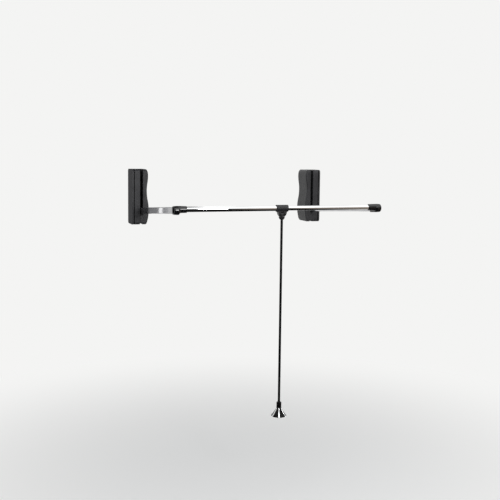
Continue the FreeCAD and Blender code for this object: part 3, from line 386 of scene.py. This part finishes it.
# Each row: the construction piece, and its tube's title, long axis, wall and turn.
TUBES = {
    "rod_outer_tube": ("rail_wide_tube", 0, 1.25 * MM, ALONG_X),
    "rod_inner_tube": ("rail_narrow_tube", 0, 1.2 * MM, ALONG_X),
    "pull_rod": ("pull_tube", 2, 1.0 * MM, UPRIGHT),
}
for name, (title, along, wall, turn) in TUBES.items():
    low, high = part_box(name)
    length, across = (high - low)[along], (high - low)[1]
    tube = grow(title, drawn_tube, Length=length, Radius=across / 2, Wall=wall, Turn=turn,
                Middle=(low + high) / 2, Material=FINISHES[slot_of[name]])
    stands_for(tube, name)
    print(title, "is", round(length / MM), "mm long and", round(across / MM, 1), "mm thick")

# %% [markdown]
# A lift spring is wire wound on a spiral, so its tree sweeps a ring along one. A Screw modifier
# could wind it too, but the tree takes its height and radius straight from the construction.
# It shortens while the frame swings up.

# %% Lift springs
WIRE_RADIUS, WIRE_STEPS = 1.1 * MM, 12
COIL_TURNS, COIL_STEPS = 22.0, 28


def spring_tree():
    """A coil of wire that stands on its foot."""
    tree, given = shape_tree(
        "coil_spring", Coil="Float", Height="Float", Foot="Vector", Material="Material")
    spiral = add(tree, "GeometryNodeCurveSpiral", {
        "Resolution": COIL_STEPS, "Rotations": COIL_TURNS, "Start Radius": given["Coil"],
        "End Radius": given["Coil"], "Height": given["Height"]})
    wire = add(tree, "GeometryNodeCurvePrimitiveCircle", {
        "Resolution": WIRE_STEPS, "Radius": WIRE_RADIUS})
    swept = add(tree, "GeometryNodeCurveToMesh", {
        "Curve": spiral.outputs["Curve"], "Profile Curve": wire.outputs["Curve"],
        "Fill Caps": True})
    placed = add(tree, "GeometryNodeTransform", {
        "Geometry": swept.outputs["Mesh"], "Translation": given["Foot"]})
    close_tree(tree, placed.outputs["Geometry"], given["Material"])
    return tree


coil_spring = spring_tree()
for side in SIDES:
    low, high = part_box(f"{side}_spring")
    middle = (low + high) / 2
    spring = grow(
        f"{side}_lift_spring", coil_spring, Coil=(high.x - low.x) / 2 - WIRE_RADIUS,
        Height=high.z - low.z - 2 * WIRE_RADIUS,
        Foot=(middle.x, middle.y, low.z + WIRE_RADIUS), Material=spring_steel)
    stands_for(spring, f"{side}_spring")
    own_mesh(spring)

# %% [markdown]
# Moulded corners are never knife sharp. The elbows, the collar halves and the swivel tongue are
# copies of their construction pieces, rebuilt on a fine grid and smoothed a little, so every edge
# and every joint between two shapes gets the small radius that a mould has. Bevels would need
# clean edges, which shapes that run into one another don't have.

# %% Copies of construction pieces
COPY_MERGE, COPY_CREASE = 0.002 * MM, math.radians(30)


def copy_of(name, title):
    """A merged copy of a construction piece, smooth with sharp corners."""
    shell = bmesh.new()
    shell.from_mesh(nodes[name].data)
    bmesh.ops.remove_doubles(shell, verts=shell.verts, dist=COPY_MERGE)
    shell.verts.index_update()
    faces = [[corner.index for corner in face.verts] for face in shell.faces]
    mesh = bpy.data.meshes.new(title)
    mesh.from_pydata([corner.co for corner in shell.verts], [], faces)
    shell.free()
    mesh.shade_smooth()
    mesh.set_sharp_from_angle(angle=COPY_CREASE)
    return piece_from(title, mesh)


print("copies are merged within", COPY_MERGE / MM, "mm")

# %% Moulded elbows, collar and tongue
SOFTEN = 0.5
ELBOW_GRID, ELBOW_PASSES = 0.6 * MM, 8
COLLAR_GRID, COLLAR_PASSES = 0.35 * MM, 4


def moulded(name, title, coat, grid, passes):
    """A copy with the rounded edges of a moulding: rebuilt on a grid, then smoothed."""
    piece = copy_of(name, title)
    remesh = piece.modifiers.new("grid", "REMESH")
    remesh.mode = "VOXEL"
    remesh.voxel_size = grid
    remesh.use_smooth_shade = True
    soften = piece.modifiers.new("soften", "SMOOTH")
    soften.factor = SOFTEN
    soften.iterations = passes
    as_plain_mesh(piece)
    piece.data.materials.clear()
    piece.data.materials.append(coat)
    return stands_for(piece, name)


MOULDED = {
    "left_elbow": ("left_moulded_elbow", black_nylon, ELBOW_GRID, ELBOW_PASSES),
    "right_elbow": ("right_moulded_elbow", black_nylon, ELBOW_GRID, ELBOW_PASSES),
    "collar_front": ("collar_half_front", collar_nylon, COLLAR_GRID, COLLAR_PASSES),
    "collar_rear": ("collar_half_rear", collar_nylon, COLLAR_GRID, COLLAR_PASSES),
    "handle_tongue": ("swivel_tongue", collar_nylon, COLLAR_GRID, COLLAR_PASSES),
}
for name, (title, coat, grid, passes) in MOULDED.items():
    piece = moulded(name, title, coat, grid, passes)
    print(title, "has", len(piece.data.polygons), "faces")

# %% [markdown]
# The grip is turned: a short sleeve on the pull rod and a flared skirt below it. A line drawn from
# the axis outwards and spun round gives both. The skirt's flare is a quadratic curve; the bright
# strips follow the same curve, so they lie flat on it.

# %% The flare of the grip
SKIRT_WALL = 2.5 * MM
NECK_SHARE, RIM_SHARE, FLARE_TUCK = 0.58, 0.42, 1.2 * MM
grip_low, grip_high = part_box("grip_skirt")
sleeve_low, sleeve_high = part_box("grip_collar")
grip_axis = Vector(((grip_low.x + grip_high.x) / 2, (grip_low.y + grip_high.y) / 2, 0))
base_radius = (grip_high.x - grip_low.x) / 2
sleeve_radius = (sleeve_high.x - sleeve_low.x) / 2
pull_radius = NECK_SHARE * sleeve_radius + RIM_SHARE * base_radius - FLARE_TUCK
flare_start = Vector((sleeve_radius, 0, grip_high.z))
flare_pull = Vector((pull_radius, 0, (grip_low.z + grip_high.z) / 2))
flare_end = Vector((base_radius, 0, grip_low.z + SKIRT_WALL / 2))


def flare(share):
    """A place on the skirt's outside, from neck to rim."""
    left = 1 - share
    return flare_start * left ** 2 + flare_pull * 2 * share * left + flare_end * share ** 2


print("flare from", round(sleeve_radius / MM, 1), "to", round(base_radius / MM, 1), "mm radius")

# %% Turned skirt and sleeve
SPIN_STEPS, SPUN_MERGE, SPUN_CREASE = 96, 0.001 * MM, math.radians(32)
FLARE_STEPS, ROUND_STEPS = 16, 8
SLEEVE_ROUND, BORE_PLAY = 2.2 * MM, 0.05 * MM


def spun(title, line):
    """Spin a line of (radius, height) points round the grip's axis, as a closed mesh."""
    shape = bmesh.new()
    points = [shape.verts.new((grip_axis.x + radius, grip_axis.y, height))
              for radius, height in line]
    edges = [shape.edges.new(pair) for pair in zip(points, points[1:])]
    bmesh.ops.spin(shape, geom=points + edges, cent=grip_axis, axis=(0, 0, 1),
                   angle=math.tau, steps=SPIN_STEPS)
    bmesh.ops.remove_doubles(shape, verts=shape.verts, dist=SPUN_MERGE)
    bmesh.ops.recalc_face_normals(shape, faces=shape.faces)
    for face in shape.faces:
        face.smooth = True
    mesh = bpy.data.meshes.new(title)
    shape.to_mesh(mesh)
    shape.free()
    mesh.set_sharp_from_angle(angle=SPUN_CREASE)
    mesh.materials.append(satin_grip)
    return piece_from(title, mesh)


outside = [flare(step / FLARE_STEPS) for step in range(FLARE_STEPS + 1)]
rim_round = SKIRT_WALL / 2
rim_turns = [math.pi * step / ROUND_STEPS for step in range(1, ROUND_STEPS)]
rim = [(base_radius - rim_round + math.cos(turn) * rim_round,
        flare_end.z - math.sin(turn) * rim_round) for turn in rim_turns]
inside = [(point.x - SKIRT_WALL, point.z) for point in reversed(outside[1:])]
skirt_line = [(0, grip_high.z)] + [(point.x, point.z) for point in outside]
skirt_line += rim + inside + [(0, grip_high.z - SKIRT_WALL)]
skirt = stands_for(spun("grip_skirt_turned", skirt_line), "grip_skirt")

pull_low, pull_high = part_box("pull_rod")
bore = (pull_high.x - pull_low.x) / 2 + BORE_PLAY
shoulder_turns = [math.pi / 2 * step / ROUND_STEPS for step in range(ROUND_STEPS + 1)]
shoulder = [(sleeve_radius - SLEEVE_ROUND * (1 - math.cos(turn)),
             sleeve_high.z - SLEEVE_ROUND * (1 - math.sin(turn))) for turn in shoulder_turns]
sleeve_line = [(0, sleeve_low.z), (sleeve_radius, sleeve_low.z)] + shoulder
sleeve_line += [(bore, sleeve_high.z), (bore, pull_low.z), (0, pull_low.z)]
sleeve = stands_for(spun("grip_sleeve_turned", sleeve_line), "grip_collar")
print("faces in the skirt:", len(skirt.data.polygons), "in the sleeve:", len(sleeve.data.polygons))

# %% [markdown]
# Six bright strips run down the skirt. One strip is a small rounded section swept along the flare,
# a little wider at the rim, and the tree copies it round the axis. The ring is turned so that one
# strip faces the camera.

# %% Bright strips down the skirt
STRIP_COUNT = 6
STRIP_TURN = math.radians(72)
STRIP_WIDTH, STRIP_THICK, STRIP_LIFT = 4.4 * MM, 1.2 * MM, 0.35 * MM
STRIP_ROUND, STRIP_ROUND_STEPS = 0.45 * STRIP_THICK, 4
STRIP_STEPS = 20
NECK_SCALE, RIM_SCALE = 0.95, 1.15


def strip_tree():
    """Strips along a curve, set in a ring round an axis."""
    tree, given = shape_tree(
        "flared_strips", Start="Vector", Pull="Vector", End="Vector", Axis="Vector",
        Material="Material")
    path = add(tree, "GeometryNodeCurveQuadraticBezier", {
        "Resolution": STRIP_STEPS, "Start": given["Start"], "Middle": given["Pull"],
        "End": given["End"]})
    flat = add(tree, "GeometryNodeSetCurveNormal", {"Curve": path.outputs["Curve"]}, mode="Z_UP")
    band = add(tree, "GeometryNodeCurvePrimitiveQuadrilateral", {
        "Width": STRIP_WIDTH, "Height": STRIP_THICK})
    soft = add(tree, "GeometryNodeFilletCurve", {
        "Curve": band.outputs["Curve"], "Count": STRIP_ROUND_STEPS, "Radius": STRIP_ROUND},
        mode="POLY")
    along = add(tree, "GeometryNodeSplineParameter").outputs["Factor"]
    widen = add(tree, "ShaderNodeMapRange", {
        "Value": along, "To Min": NECK_SCALE, "To Max": RIM_SCALE})
    swept = add(tree, "GeometryNodeCurveToMesh", {
        "Curve": flat.outputs["Curve"], "Profile Curve": soft.outputs["Curve"],
        "Scale": widen.outputs["Result"], "Fill Caps": True})
    spots = add(tree, "GeometryNodePoints", {"Count": STRIP_COUNT})
    order = add(tree, "GeometryNodeInputIndex").outputs["Index"]
    turn = add(tree, "ShaderNodeMath", {0: order, 1: math.tau / STRIP_COUNT, 2: STRIP_TURN},
               operation="MULTIPLY_ADD")
    spin = add(tree, "ShaderNodeCombineXYZ", {"Z": turn.outputs[0]})
    ring = add(tree, "GeometryNodeInstanceOnPoints", {
        "Points": spots.outputs["Points"], "Instance": swept.outputs["Mesh"],
        "Rotation": spin.outputs["Vector"]})
    real = add(tree, "GeometryNodeRealizeInstances", {"Geometry": ring.outputs["Instances"]})
    placed = add(tree, "GeometryNodeTransform", {
        "Geometry": real.outputs["Geometry"], "Translation": given["Axis"]})
    close_tree(tree, placed.outputs["Geometry"], given["Material"])
    return tree


lift = Vector((STRIP_LIFT, 0, 0))
strips = grow("grip_bright_strips", strip_tree(), Start=flare(0) + lift, Pull=flare_pull + lift,
              End=flare_end + lift, Axis=grip_axis, Material=strip_chrome)
stands_for(strips, "grip_ribs")
print("strips:", STRIP_COUNT, "in", len(strips.data.polygons), "faces")

# %% [markdown]
# Each housing is closed by a tray. A groove runs round its inner edge, where the case meets it: on
# the real object that is the black parting line down each side. The tray is copied, and the faces
# of the groove get the near-black finish, a painted shade that keeps the line black even in bright
# light.

# %% Trays with their parting line
GROOVE = 4.0 * MM
HAIR = 0.02 * MM
for side in SIDES:
    name = f"{side}_base_tray"
    tray = copy_of(name, f"{side}_tray_with_groove")
    tray.data.materials.append(housing_abs)
    tray.data.materials.append(shadow_gap)
    low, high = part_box(name)
    corners = tray.data.vertices
    for face in tray.data.polygons:
        across = [corners[index].co.x for index in face.vertices]
        depth = high.x - min(across) if side == "left" else max(across) - low.x
        # Faces within the groove take the painted-shade finish.
        face.material_index = int(depth < GROOVE + HAIR)
    stands_for(tray, name)
    dark = sum(face.material_index for face in tray.data.polygons)
    print(tray.name, "has", dark, "faces in its groove")

# %% [markdown]
# Two small screws clamp the collar's halves and a grub screw locks the rail's length. All three
# sit in holes on the back. A tree makes a domed head with a cross recess, where a ball cuts the
# dome and two bars cut the cross. It copies the screw to each place and adds the grub screw with
# its hexagon.

# %% Shapes of the collar screws
HEAD_RADIUS, HEAD_HEIGHT, HEAD_SEAT = 2.3 * MM, 2.6 * MM, 2.6 * MM
HEAD_STEPS, SHANK_STEPS, HEX_SIDES = 32, 24, 6
SHANK_RADIUS, SHANK_LENGTH = 1.5 * MM, 7.6 * MM
GRUB_LENGTH = 4.5 * MM
RECESS, HEX_RADIUS = 1.2 * MM, 0.8 * MM
CROSS_LONG, CROSS_THIN = 3 * MM, 0.5 * MM
DOME, DOME_SEGMENTS, DOME_RINGS = 6 * MM, 48, 24


def cross_screw(tree):
    """A screw that points down: domed head, cross recess and shank."""
    flat = add(tree, "GeometryNodeMeshCylinder", {
        "Vertices": HEAD_STEPS, "Radius": HEAD_RADIUS, "Depth": HEAD_HEIGHT})
    ball = add(tree, "GeometryNodeMeshUVSphere", {
        "Segments": DOME_SEGMENTS, "Rings": DOME_RINGS, "Radius": DOME})
    sunk = add(tree, "GeometryNodeTransform", {
        "Geometry": ball.outputs["Mesh"], "Translation": (0, 0, HEAD_HEIGHT / 2 - DOME)})
    dome = add(tree, "GeometryNodeMeshBoolean", {
        "Mesh 2": [flat.outputs["Mesh"], sunk.outputs["Geometry"]]},
        operation="INTERSECT", solver="EXACT")
    bars = []
    for wide, deep in ((CROSS_THIN, CROSS_LONG), (CROSS_LONG, CROSS_THIN)):
        bar = add(tree, "GeometryNodeMeshCube", {"Size": (wide, deep, 2 * RECESS)})
        raised = add(tree, "GeometryNodeTransform", {
            "Geometry": bar.outputs["Mesh"], "Translation": (0, 0, HEAD_HEIGHT / 2)})
        bars.append(raised.outputs["Geometry"])
    head = add(tree, "GeometryNodeMeshBoolean", {"Mesh 1": dome.outputs["Mesh"], "Mesh 2": bars},
               operation="DIFFERENCE", solver="EXACT")
    stem = add(tree, "GeometryNodeMeshCylinder", {
        "Vertices": SHANK_STEPS, "Radius": SHANK_RADIUS, "Depth": SHANK_LENGTH})
    shank = add(tree, "GeometryNodeTransform", {
        "Geometry": stem.outputs["Mesh"],
        "Translation": (0, 0, -(HEAD_HEIGHT + SHANK_LENGTH) / 2)})
    screw = add(tree, "GeometryNodeJoinGeometry", {
        "Geometry": [shank.outputs["Geometry"], head.outputs["Mesh"]]})
    return screw.outputs["Geometry"]


def grub_screw(tree):
    """A headless screw with a hexagon recess."""
    body = add(tree, "GeometryNodeMeshCylinder", {
        "Vertices": SHANK_STEPS, "Radius": SHANK_RADIUS, "Depth": GRUB_LENGTH})
    bar = add(tree, "GeometryNodeMeshCylinder", {
        "Vertices": HEX_SIDES, "Radius": HEX_RADIUS, "Depth": 2 * RECESS})
    hexagon = add(tree, "GeometryNodeTransform", {
        "Geometry": bar.outputs["Mesh"], "Translation": (0, 0, GRUB_LENGTH / 2)})
    grub = add(tree, "GeometryNodeMeshBoolean", {
        "Mesh 1": body.outputs["Mesh"], "Mesh 2": hexagon.outputs["Geometry"]},
        operation="DIFFERENCE", solver="EXACT")
    return grub.outputs["Mesh"]


print("screw heads are", 2 * HEAD_RADIUS / MM, "mm wide")

# %% Collar screws in their places
TO_THE_BACK = (-math.pi / 2, 0, 0)


def screw_tree():
    """Two cross screws in a row and a grub screw, all turned to the back."""
    tree, given = shape_tree(
        "collar_screws", First="Vector", Step="Vector", Grub="Vector", Material="Material")
    spots = add(tree, "GeometryNodeMeshLine", {
        "Count": 2, "Start Location": given["First"], "Offset": given["Step"]})
    pair = add(tree, "GeometryNodeInstanceOnPoints", {
        "Points": spots.outputs["Mesh"], "Instance": cross_screw(tree), "Rotation": TO_THE_BACK})
    turned = add(tree, "GeometryNodeTransform", {
        "Geometry": grub_screw(tree), "Translation": given["Grub"], "Rotation": TO_THE_BACK})
    everything = add(tree, "GeometryNodeJoinGeometry", {
        "Geometry": [pair.outputs["Instances"], turned.outputs["Geometry"]]})
    close_tree(tree, everything.outputs["Geometry"], given["Material"])
    return tree


screw_low, screw_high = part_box("collar_screws")
rail_low, rail_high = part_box("rod_outer_tube")
rail_y, rail_z = (rail_low.y + rail_high.y) / 2, (rail_low.z + rail_high.z) / 2
collar_low, collar_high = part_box("collar_rear")
collar_x = (collar_low.x + collar_high.x) / 2
first_x = screw_low.x + HEAD_RADIUS
head_y = rail_y + HEAD_SEAT + HEAD_HEIGHT / 2
head_z = screw_low.z + HEAD_RADIUS
grub_x, grub_y = screw_high.x - SHANK_RADIUS, screw_high.y - GRUB_LENGTH / 2
screws = grow("collar_screw_set", screw_tree(), First=(first_x, head_y, head_z),
              Step=(2 * (collar_x - first_x), 0, 0), Grub=(grub_x, grub_y, rail_z),
              Material=zinc_plate)
stands_for(screws, "collar_screws")
print("screws:", len(screws.data.polygons), "faces")

# %% [markdown]
# The stage is a plain pale floor. It is real near the object, where it takes the shadow, and fades
# into the background's own colour further out, so there is no horizon line. Seen from below it is
# clear, because the underside of the object is looked at too.

# %% Floor
FLOOR_Z = -1.172
FLOOR_MIDDLE = Vector((0.47, -0.4, FLOOR_Z))
FLOOR_RADIUS, FLOOR_STEPS = 40.0, 96
FLOOR_TINT, FLOOR_ROUGH = "f8f8f7", 0.9
FADE_NEAR, FADE_FAR = 0.1, 2.2
PALE = "f4f4f3"


def floor_material():
    """Pale paint that fades into the background's colour, and is clear from below."""
    material = bpy.data.materials.new("pale_studio_floor")
    material.use_nodes = True
    tree = material.node_tree
    shader = tree.nodes["Principled BSDF"]
    shader.inputs["Base Color"].default_value = linear(FLOOR_TINT)
    shader.inputs["Roughness"].default_value = FLOOR_ROUGH
    place = add(tree, "ShaderNodeTexCoord").outputs["Object"]
    reach = add(tree, "ShaderNodeVectorMath", {0: place, 1: FLOOR_MIDDLE}, operation="SUBTRACT")
    span = add(tree, "ShaderNodeVectorMath", {0: reach.outputs["Vector"]}, operation="LENGTH")
    fade = add(tree, "ShaderNodeMapRange", {
        "Value": span.outputs["Value"], "From Min": FADE_NEAR, "From Max": FADE_FAR},
        interpolation_type="SMOOTHSTEP")
    glow = add(tree, "ShaderNodeEmission", {"Color": linear(PALE)})
    far = add(tree, "ShaderNodeMixShader", {
        0: fade.outputs["Result"], 1: shader.outputs["BSDF"], 2: glow.outputs["Emission"]})
    clear = add(tree, "ShaderNodeBsdfTransparent")
    below = add(tree, "ShaderNodeNewGeometry").outputs["Backfacing"]
    both = add(tree, "ShaderNodeMixShader", {
        0: below, 1: far.outputs["Shader"], 2: clear.outputs["BSDF"]})
    tree.links.new(both.outputs["Shader"], tree.nodes["Material Output"].inputs["Surface"])
    return material


floor_mesh = bpy.data.meshes.new("floor")
disc = bmesh.new()
bmesh.ops.create_circle(disc, cap_ends=True, radius=FLOOR_RADIUS, segments=FLOOR_STEPS)
disc.to_mesh(floor_mesh)
disc.free()
floor_mesh.transform(Matrix.Translation(FLOOR_MIDDLE))
floor_mesh.materials.append(floor_material())
piece_from("floor", floor_mesh)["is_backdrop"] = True
print("floor at", FLOOR_Z, "m")

# %% [markdown]
# Plain soft light comes from a wide overhead scrim, an upright key light in front, a fill from
# behind and a dim sky. Mirrors and the camera see the world's pale colour, and everything else is
# lit by the calmer sky, so pale surfaces keep their shade.

# %% World
SKY, SKY_TINT = 0.4, "f4f6f8"


def studio_world():
    """A sky that lights the object, and a pale background for the camera and mirrors."""
    world = bpy.data.worlds.new("studio")
    bpy.context.scene.world = world
    world.use_nodes = True
    tree = world.node_tree
    sky = tree.nodes["Background"]
    sky.inputs["Color"].default_value = linear(SKY_TINT)
    sky.inputs["Strength"].default_value = SKY
    seen = add(tree, "ShaderNodeBackground", {"Color": linear(PALE), "Strength": 1.0})
    path = add(tree, "ShaderNodeLightPath").outputs
    mirror = add(tree, "ShaderNodeMath", {
        0: path["Is Glossy Ray"], 1: path["Is Transmission Ray"]}, operation="MAXIMUM")
    direct = add(tree, "ShaderNodeMath", {
        0: path["Is Camera Ray"], 1: mirror.outputs[0]}, operation="MAXIMUM")
    both = add(tree, "ShaderNodeMixShader", {
        0: direct.outputs[0], 1: sky.outputs[0], 2: seen.outputs[0]})
    tree.links.new(both.outputs["Shader"], tree.nodes["World Output"].inputs["Surface"])


studio_world()
print("sky of", SKY)

# %% Softboxes
# Each row: name, place, width, height, and how bright the lamp's face looks.
SOFTBOXES = (
    ("overhead_scrim", (0.9, -2.4, 2.9), 6.5, 2.2, 1.4),
    ("key", (0.8, -4.0, 0.8), 0.7, 1.4, 16.0),
    ("back_fill", (0.2, 3.2, 1.9), 3.0, 1.6, 1.2),
)


def softbox(name, at, width, height, radiance):
    """A soft lamp that faces the middle of the object."""
    data = bpy.data.lights.new(name, "AREA")
    data.shape = "RECTANGLE"
    data.size, data.size_y = width, height
    data.energy = radiance * math.pi * width * height
    lamp = bpy.data.objects.new(name, data)
    lamp.location = at
    aim = (cad_low + cad_high) / 2 - Vector(at)
    lamp.rotation_euler = aim.to_track_quat("-Z", "Y").to_euler()
    lamp.visible_camera = False
    bpy.context.scene.collection.objects.link(lamp)


for row in SOFTBOXES:
    softbox(*row)
print(len(SOFTBOXES), "softboxes")

# %% [markdown]
# Chrome looks flat where it mirrors only white, so studios put dark cards, called flags, round it.
# Here they are seen by mirrors alone, and cast no shadow. A dark apron lies under the rail and
# stands up in front: it gives the rail's lower half the black band that makes it read as metal,
# and keeps the black plastic black. It lightens to a warm grey on the right.

# %% Flags
HIDDEN_FROM = ("camera", "diffuse", "transmission", "volume_scatter", "shadow")
LIGHTEN_FROM, LIGHTEN_TO = 1.45, 2.3


def flag(title, corners, faces, tint, strength=1.0, right_tint=None):
    """A card that only mirrors see; a right_tint lightens it towards the right."""
    mesh = bpy.data.meshes.new(title)
    mesh.from_pydata(corners, [], faces)
    material = bpy.data.materials.new(title)
    material.use_nodes = True
    tree = material.node_tree
    tree.nodes.remove(tree.nodes["Principled BSDF"])
    glow = add(tree, "ShaderNodeEmission", {"Color": linear(tint), "Strength": strength})
    if right_tint:
        place = add(tree, "ShaderNodeTexCoord").outputs["Object"]
        across = add(tree, "ShaderNodeSeparateXYZ", {"Vector": place}).outputs["X"]
        share = add(tree, "ShaderNodeMapRange", {
            "Value": across, "From Min": LIGHTEN_FROM, "From Max": LIGHTEN_TO})
        tone = add(tree, "ShaderNodeValToRGB", {"Fac": share.outputs["Result"]})
        for stop, shade in zip(tone.color_ramp.elements, (tint, right_tint)):
            stop.color = linear(shade)
        tree.links.new(tone.outputs["Color"], glow.inputs["Color"])
    tree.links.new(glow.outputs["Emission"], tree.nodes["Material Output"].inputs["Surface"])
    mesh.materials.append(material)
    card = piece_from(title, mesh)
    for ray in HIDDEN_FROM:
        setattr(card, f"visible_{ray}", False)
    card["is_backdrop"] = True


print("flags are hidden from", ", ".join(HIDDEN_FROM))

# %% Dark apron
APRON_X, APRON_Y = 0.47, -0.74
APRON_STEPS = 72
APRON_NEAR, APRON_FAR = 2.2, 4.4
APRON_LOW, APRON_TOP = FLOOR_Z + 0.02, 1.0
APRON_OPEN, APRON_EASE = math.radians(95), math.radians(35)


def apron_rim(turn):
    """How far the apron reaches and how high it stands, at an angle from straight ahead."""
    share = min(max((APRON_OPEN - abs(turn)) / APRON_EASE, 0), 1)
    ease = share * share * (3 - 2 * share)
    reach = APRON_NEAR + (APRON_FAR - APRON_NEAR) * ease
    return reach, APRON_LOW + (APRON_TOP - APRON_LOW) * ease


apron = [(APRON_X, APRON_Y, APRON_LOW)]
for step in range(APRON_STEPS):
    turn = math.tau * step / APRON_STEPS - math.pi
    reach, height = apron_rim(turn)
    across, ahead = APRON_X + reach * math.sin(turn), APRON_Y - reach * math.cos(turn)
    apron += [(across, ahead, APRON_LOW), (across, ahead, height)]
ring = [(1 + 2 * step, 1 + 2 * ((step + 1) % APRON_STEPS)) for step in range(APRON_STEPS)]
apron_faces = [(0, here, there) for here, there in ring]
apron_faces += [(here, there, there + 1, here + 1) for here, there in ring]
flag("dark_apron", apron, apron_faces, "181818", right_tint="a89c92")
print("apron of", len(apron_faces), "faces")

# %% [markdown]
# The left arm mirrors what stands beside it: greys with one white stripe. A card in upright bands,
# level with the arm, gives its side those bands. A black canopy, an arc one metre above and behind
# the left elbow, keeps the elbow's top edge black. It ends where the rail's white reflection
# starts.

# %% Banded card and canopy
CARD_X = -0.003
CARD_LOW, CARD_HIGH = -0.12, 0.25
# Each band: where it starts and ends along Y, its tone and its strength.
CARD_BANDS = (
    (-0.72, -0.525, "0c0c0c", 1.0), (-0.525, -0.44, "d4d4d4", 1.0),
    (-0.44, -0.385, "b2b2b4", 1.0), (-0.385, -0.328, "9e9ea0", 1.0),
    (-0.328, -0.262, "ffffff", 1.4), (-0.262, 0.3, "8a8a8c", 1.0),
)
for number, (near, far, tint, strength) in enumerate(CARD_BANDS):
    corners = [(CARD_X, near, CARD_LOW), (CARD_X, far, CARD_LOW),
               (CARD_X, far, CARD_HIGH), (CARD_X, near, CARD_HIGH)]
    flag(f"arm_card_{number}", corners, [(0, 1, 2, 3)], tint, strength)

CANOPY_REACH, CANOPY_STEPS = 1.0, 10
CANOPY_LEFT, CANOPY_DRIFT = -0.5, 0.246
CANOPY_FROM, CANOPY_SWEEP = 10, 90
canopy_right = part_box("left_elbow")[1].x + CANOPY_DRIFT
canopy = []
for step in range(CANOPY_STEPS + 1):
    turn = math.radians(CANOPY_FROM + CANOPY_SWEEP * step / CANOPY_STEPS)
    back, rise = rail_y + CANOPY_REACH * math.cos(turn), rail_z + CANOPY_REACH * math.sin(turn)
    canopy += [(CANOPY_LEFT, back, rise), (canopy_right, back, rise)]
first_corners = range(0, 2 * CANOPY_STEPS, 2)
canopy_faces = [(first, first + 1, first + 3, first + 2) for first in first_corners]
flag("dark_canopy", canopy, canopy_faces, "0a0a0a")
print("card of", len(CARD_BANDS), "bands and canopy of", len(canopy_faces), "faces")

# %% [markdown]
# The camera stands to the left of the object and a little above the rail, and looks slightly down.
# Its lens leaves plenty of room round the object. The shift only sets the framing.

# %% Camera
CAMERA_AT = (-0.7017, -3.7848, 0.2801)
CAMERA_TURN = (84.489, -0.6695, -18.8303)
CAMERA_LENS_MM, CAMERA_SENSOR_MM = 58.71, 36.0
CAMERA_RISE = -0.04

lens = bpy.data.cameras.new("camera")
lens.lens = CAMERA_LENS_MM
lens.sensor_width = CAMERA_SENSOR_MM
lens.shift_y = CAMERA_RISE
camera = bpy.data.objects.new("camera", lens)
camera.location = CAMERA_AT
camera.rotation_euler = [math.radians(angle) for angle in CAMERA_TURN]
bpy.context.scene.collection.objects.link(camera)
bpy.context.scene.camera = camera
bpy.context.scene.view_settings.view_transform = "Standard"
print("camera at", CAMERA_AT)

# %% [markdown]
# Both sizes are printed: the construction's at the start, and the dressed model's here. The
# dressed model may not outgrow the construction.

# %% Sizes, and the last line
low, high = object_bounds()
print("dressed size in mm:", [round(length / MM) for length in high - low])
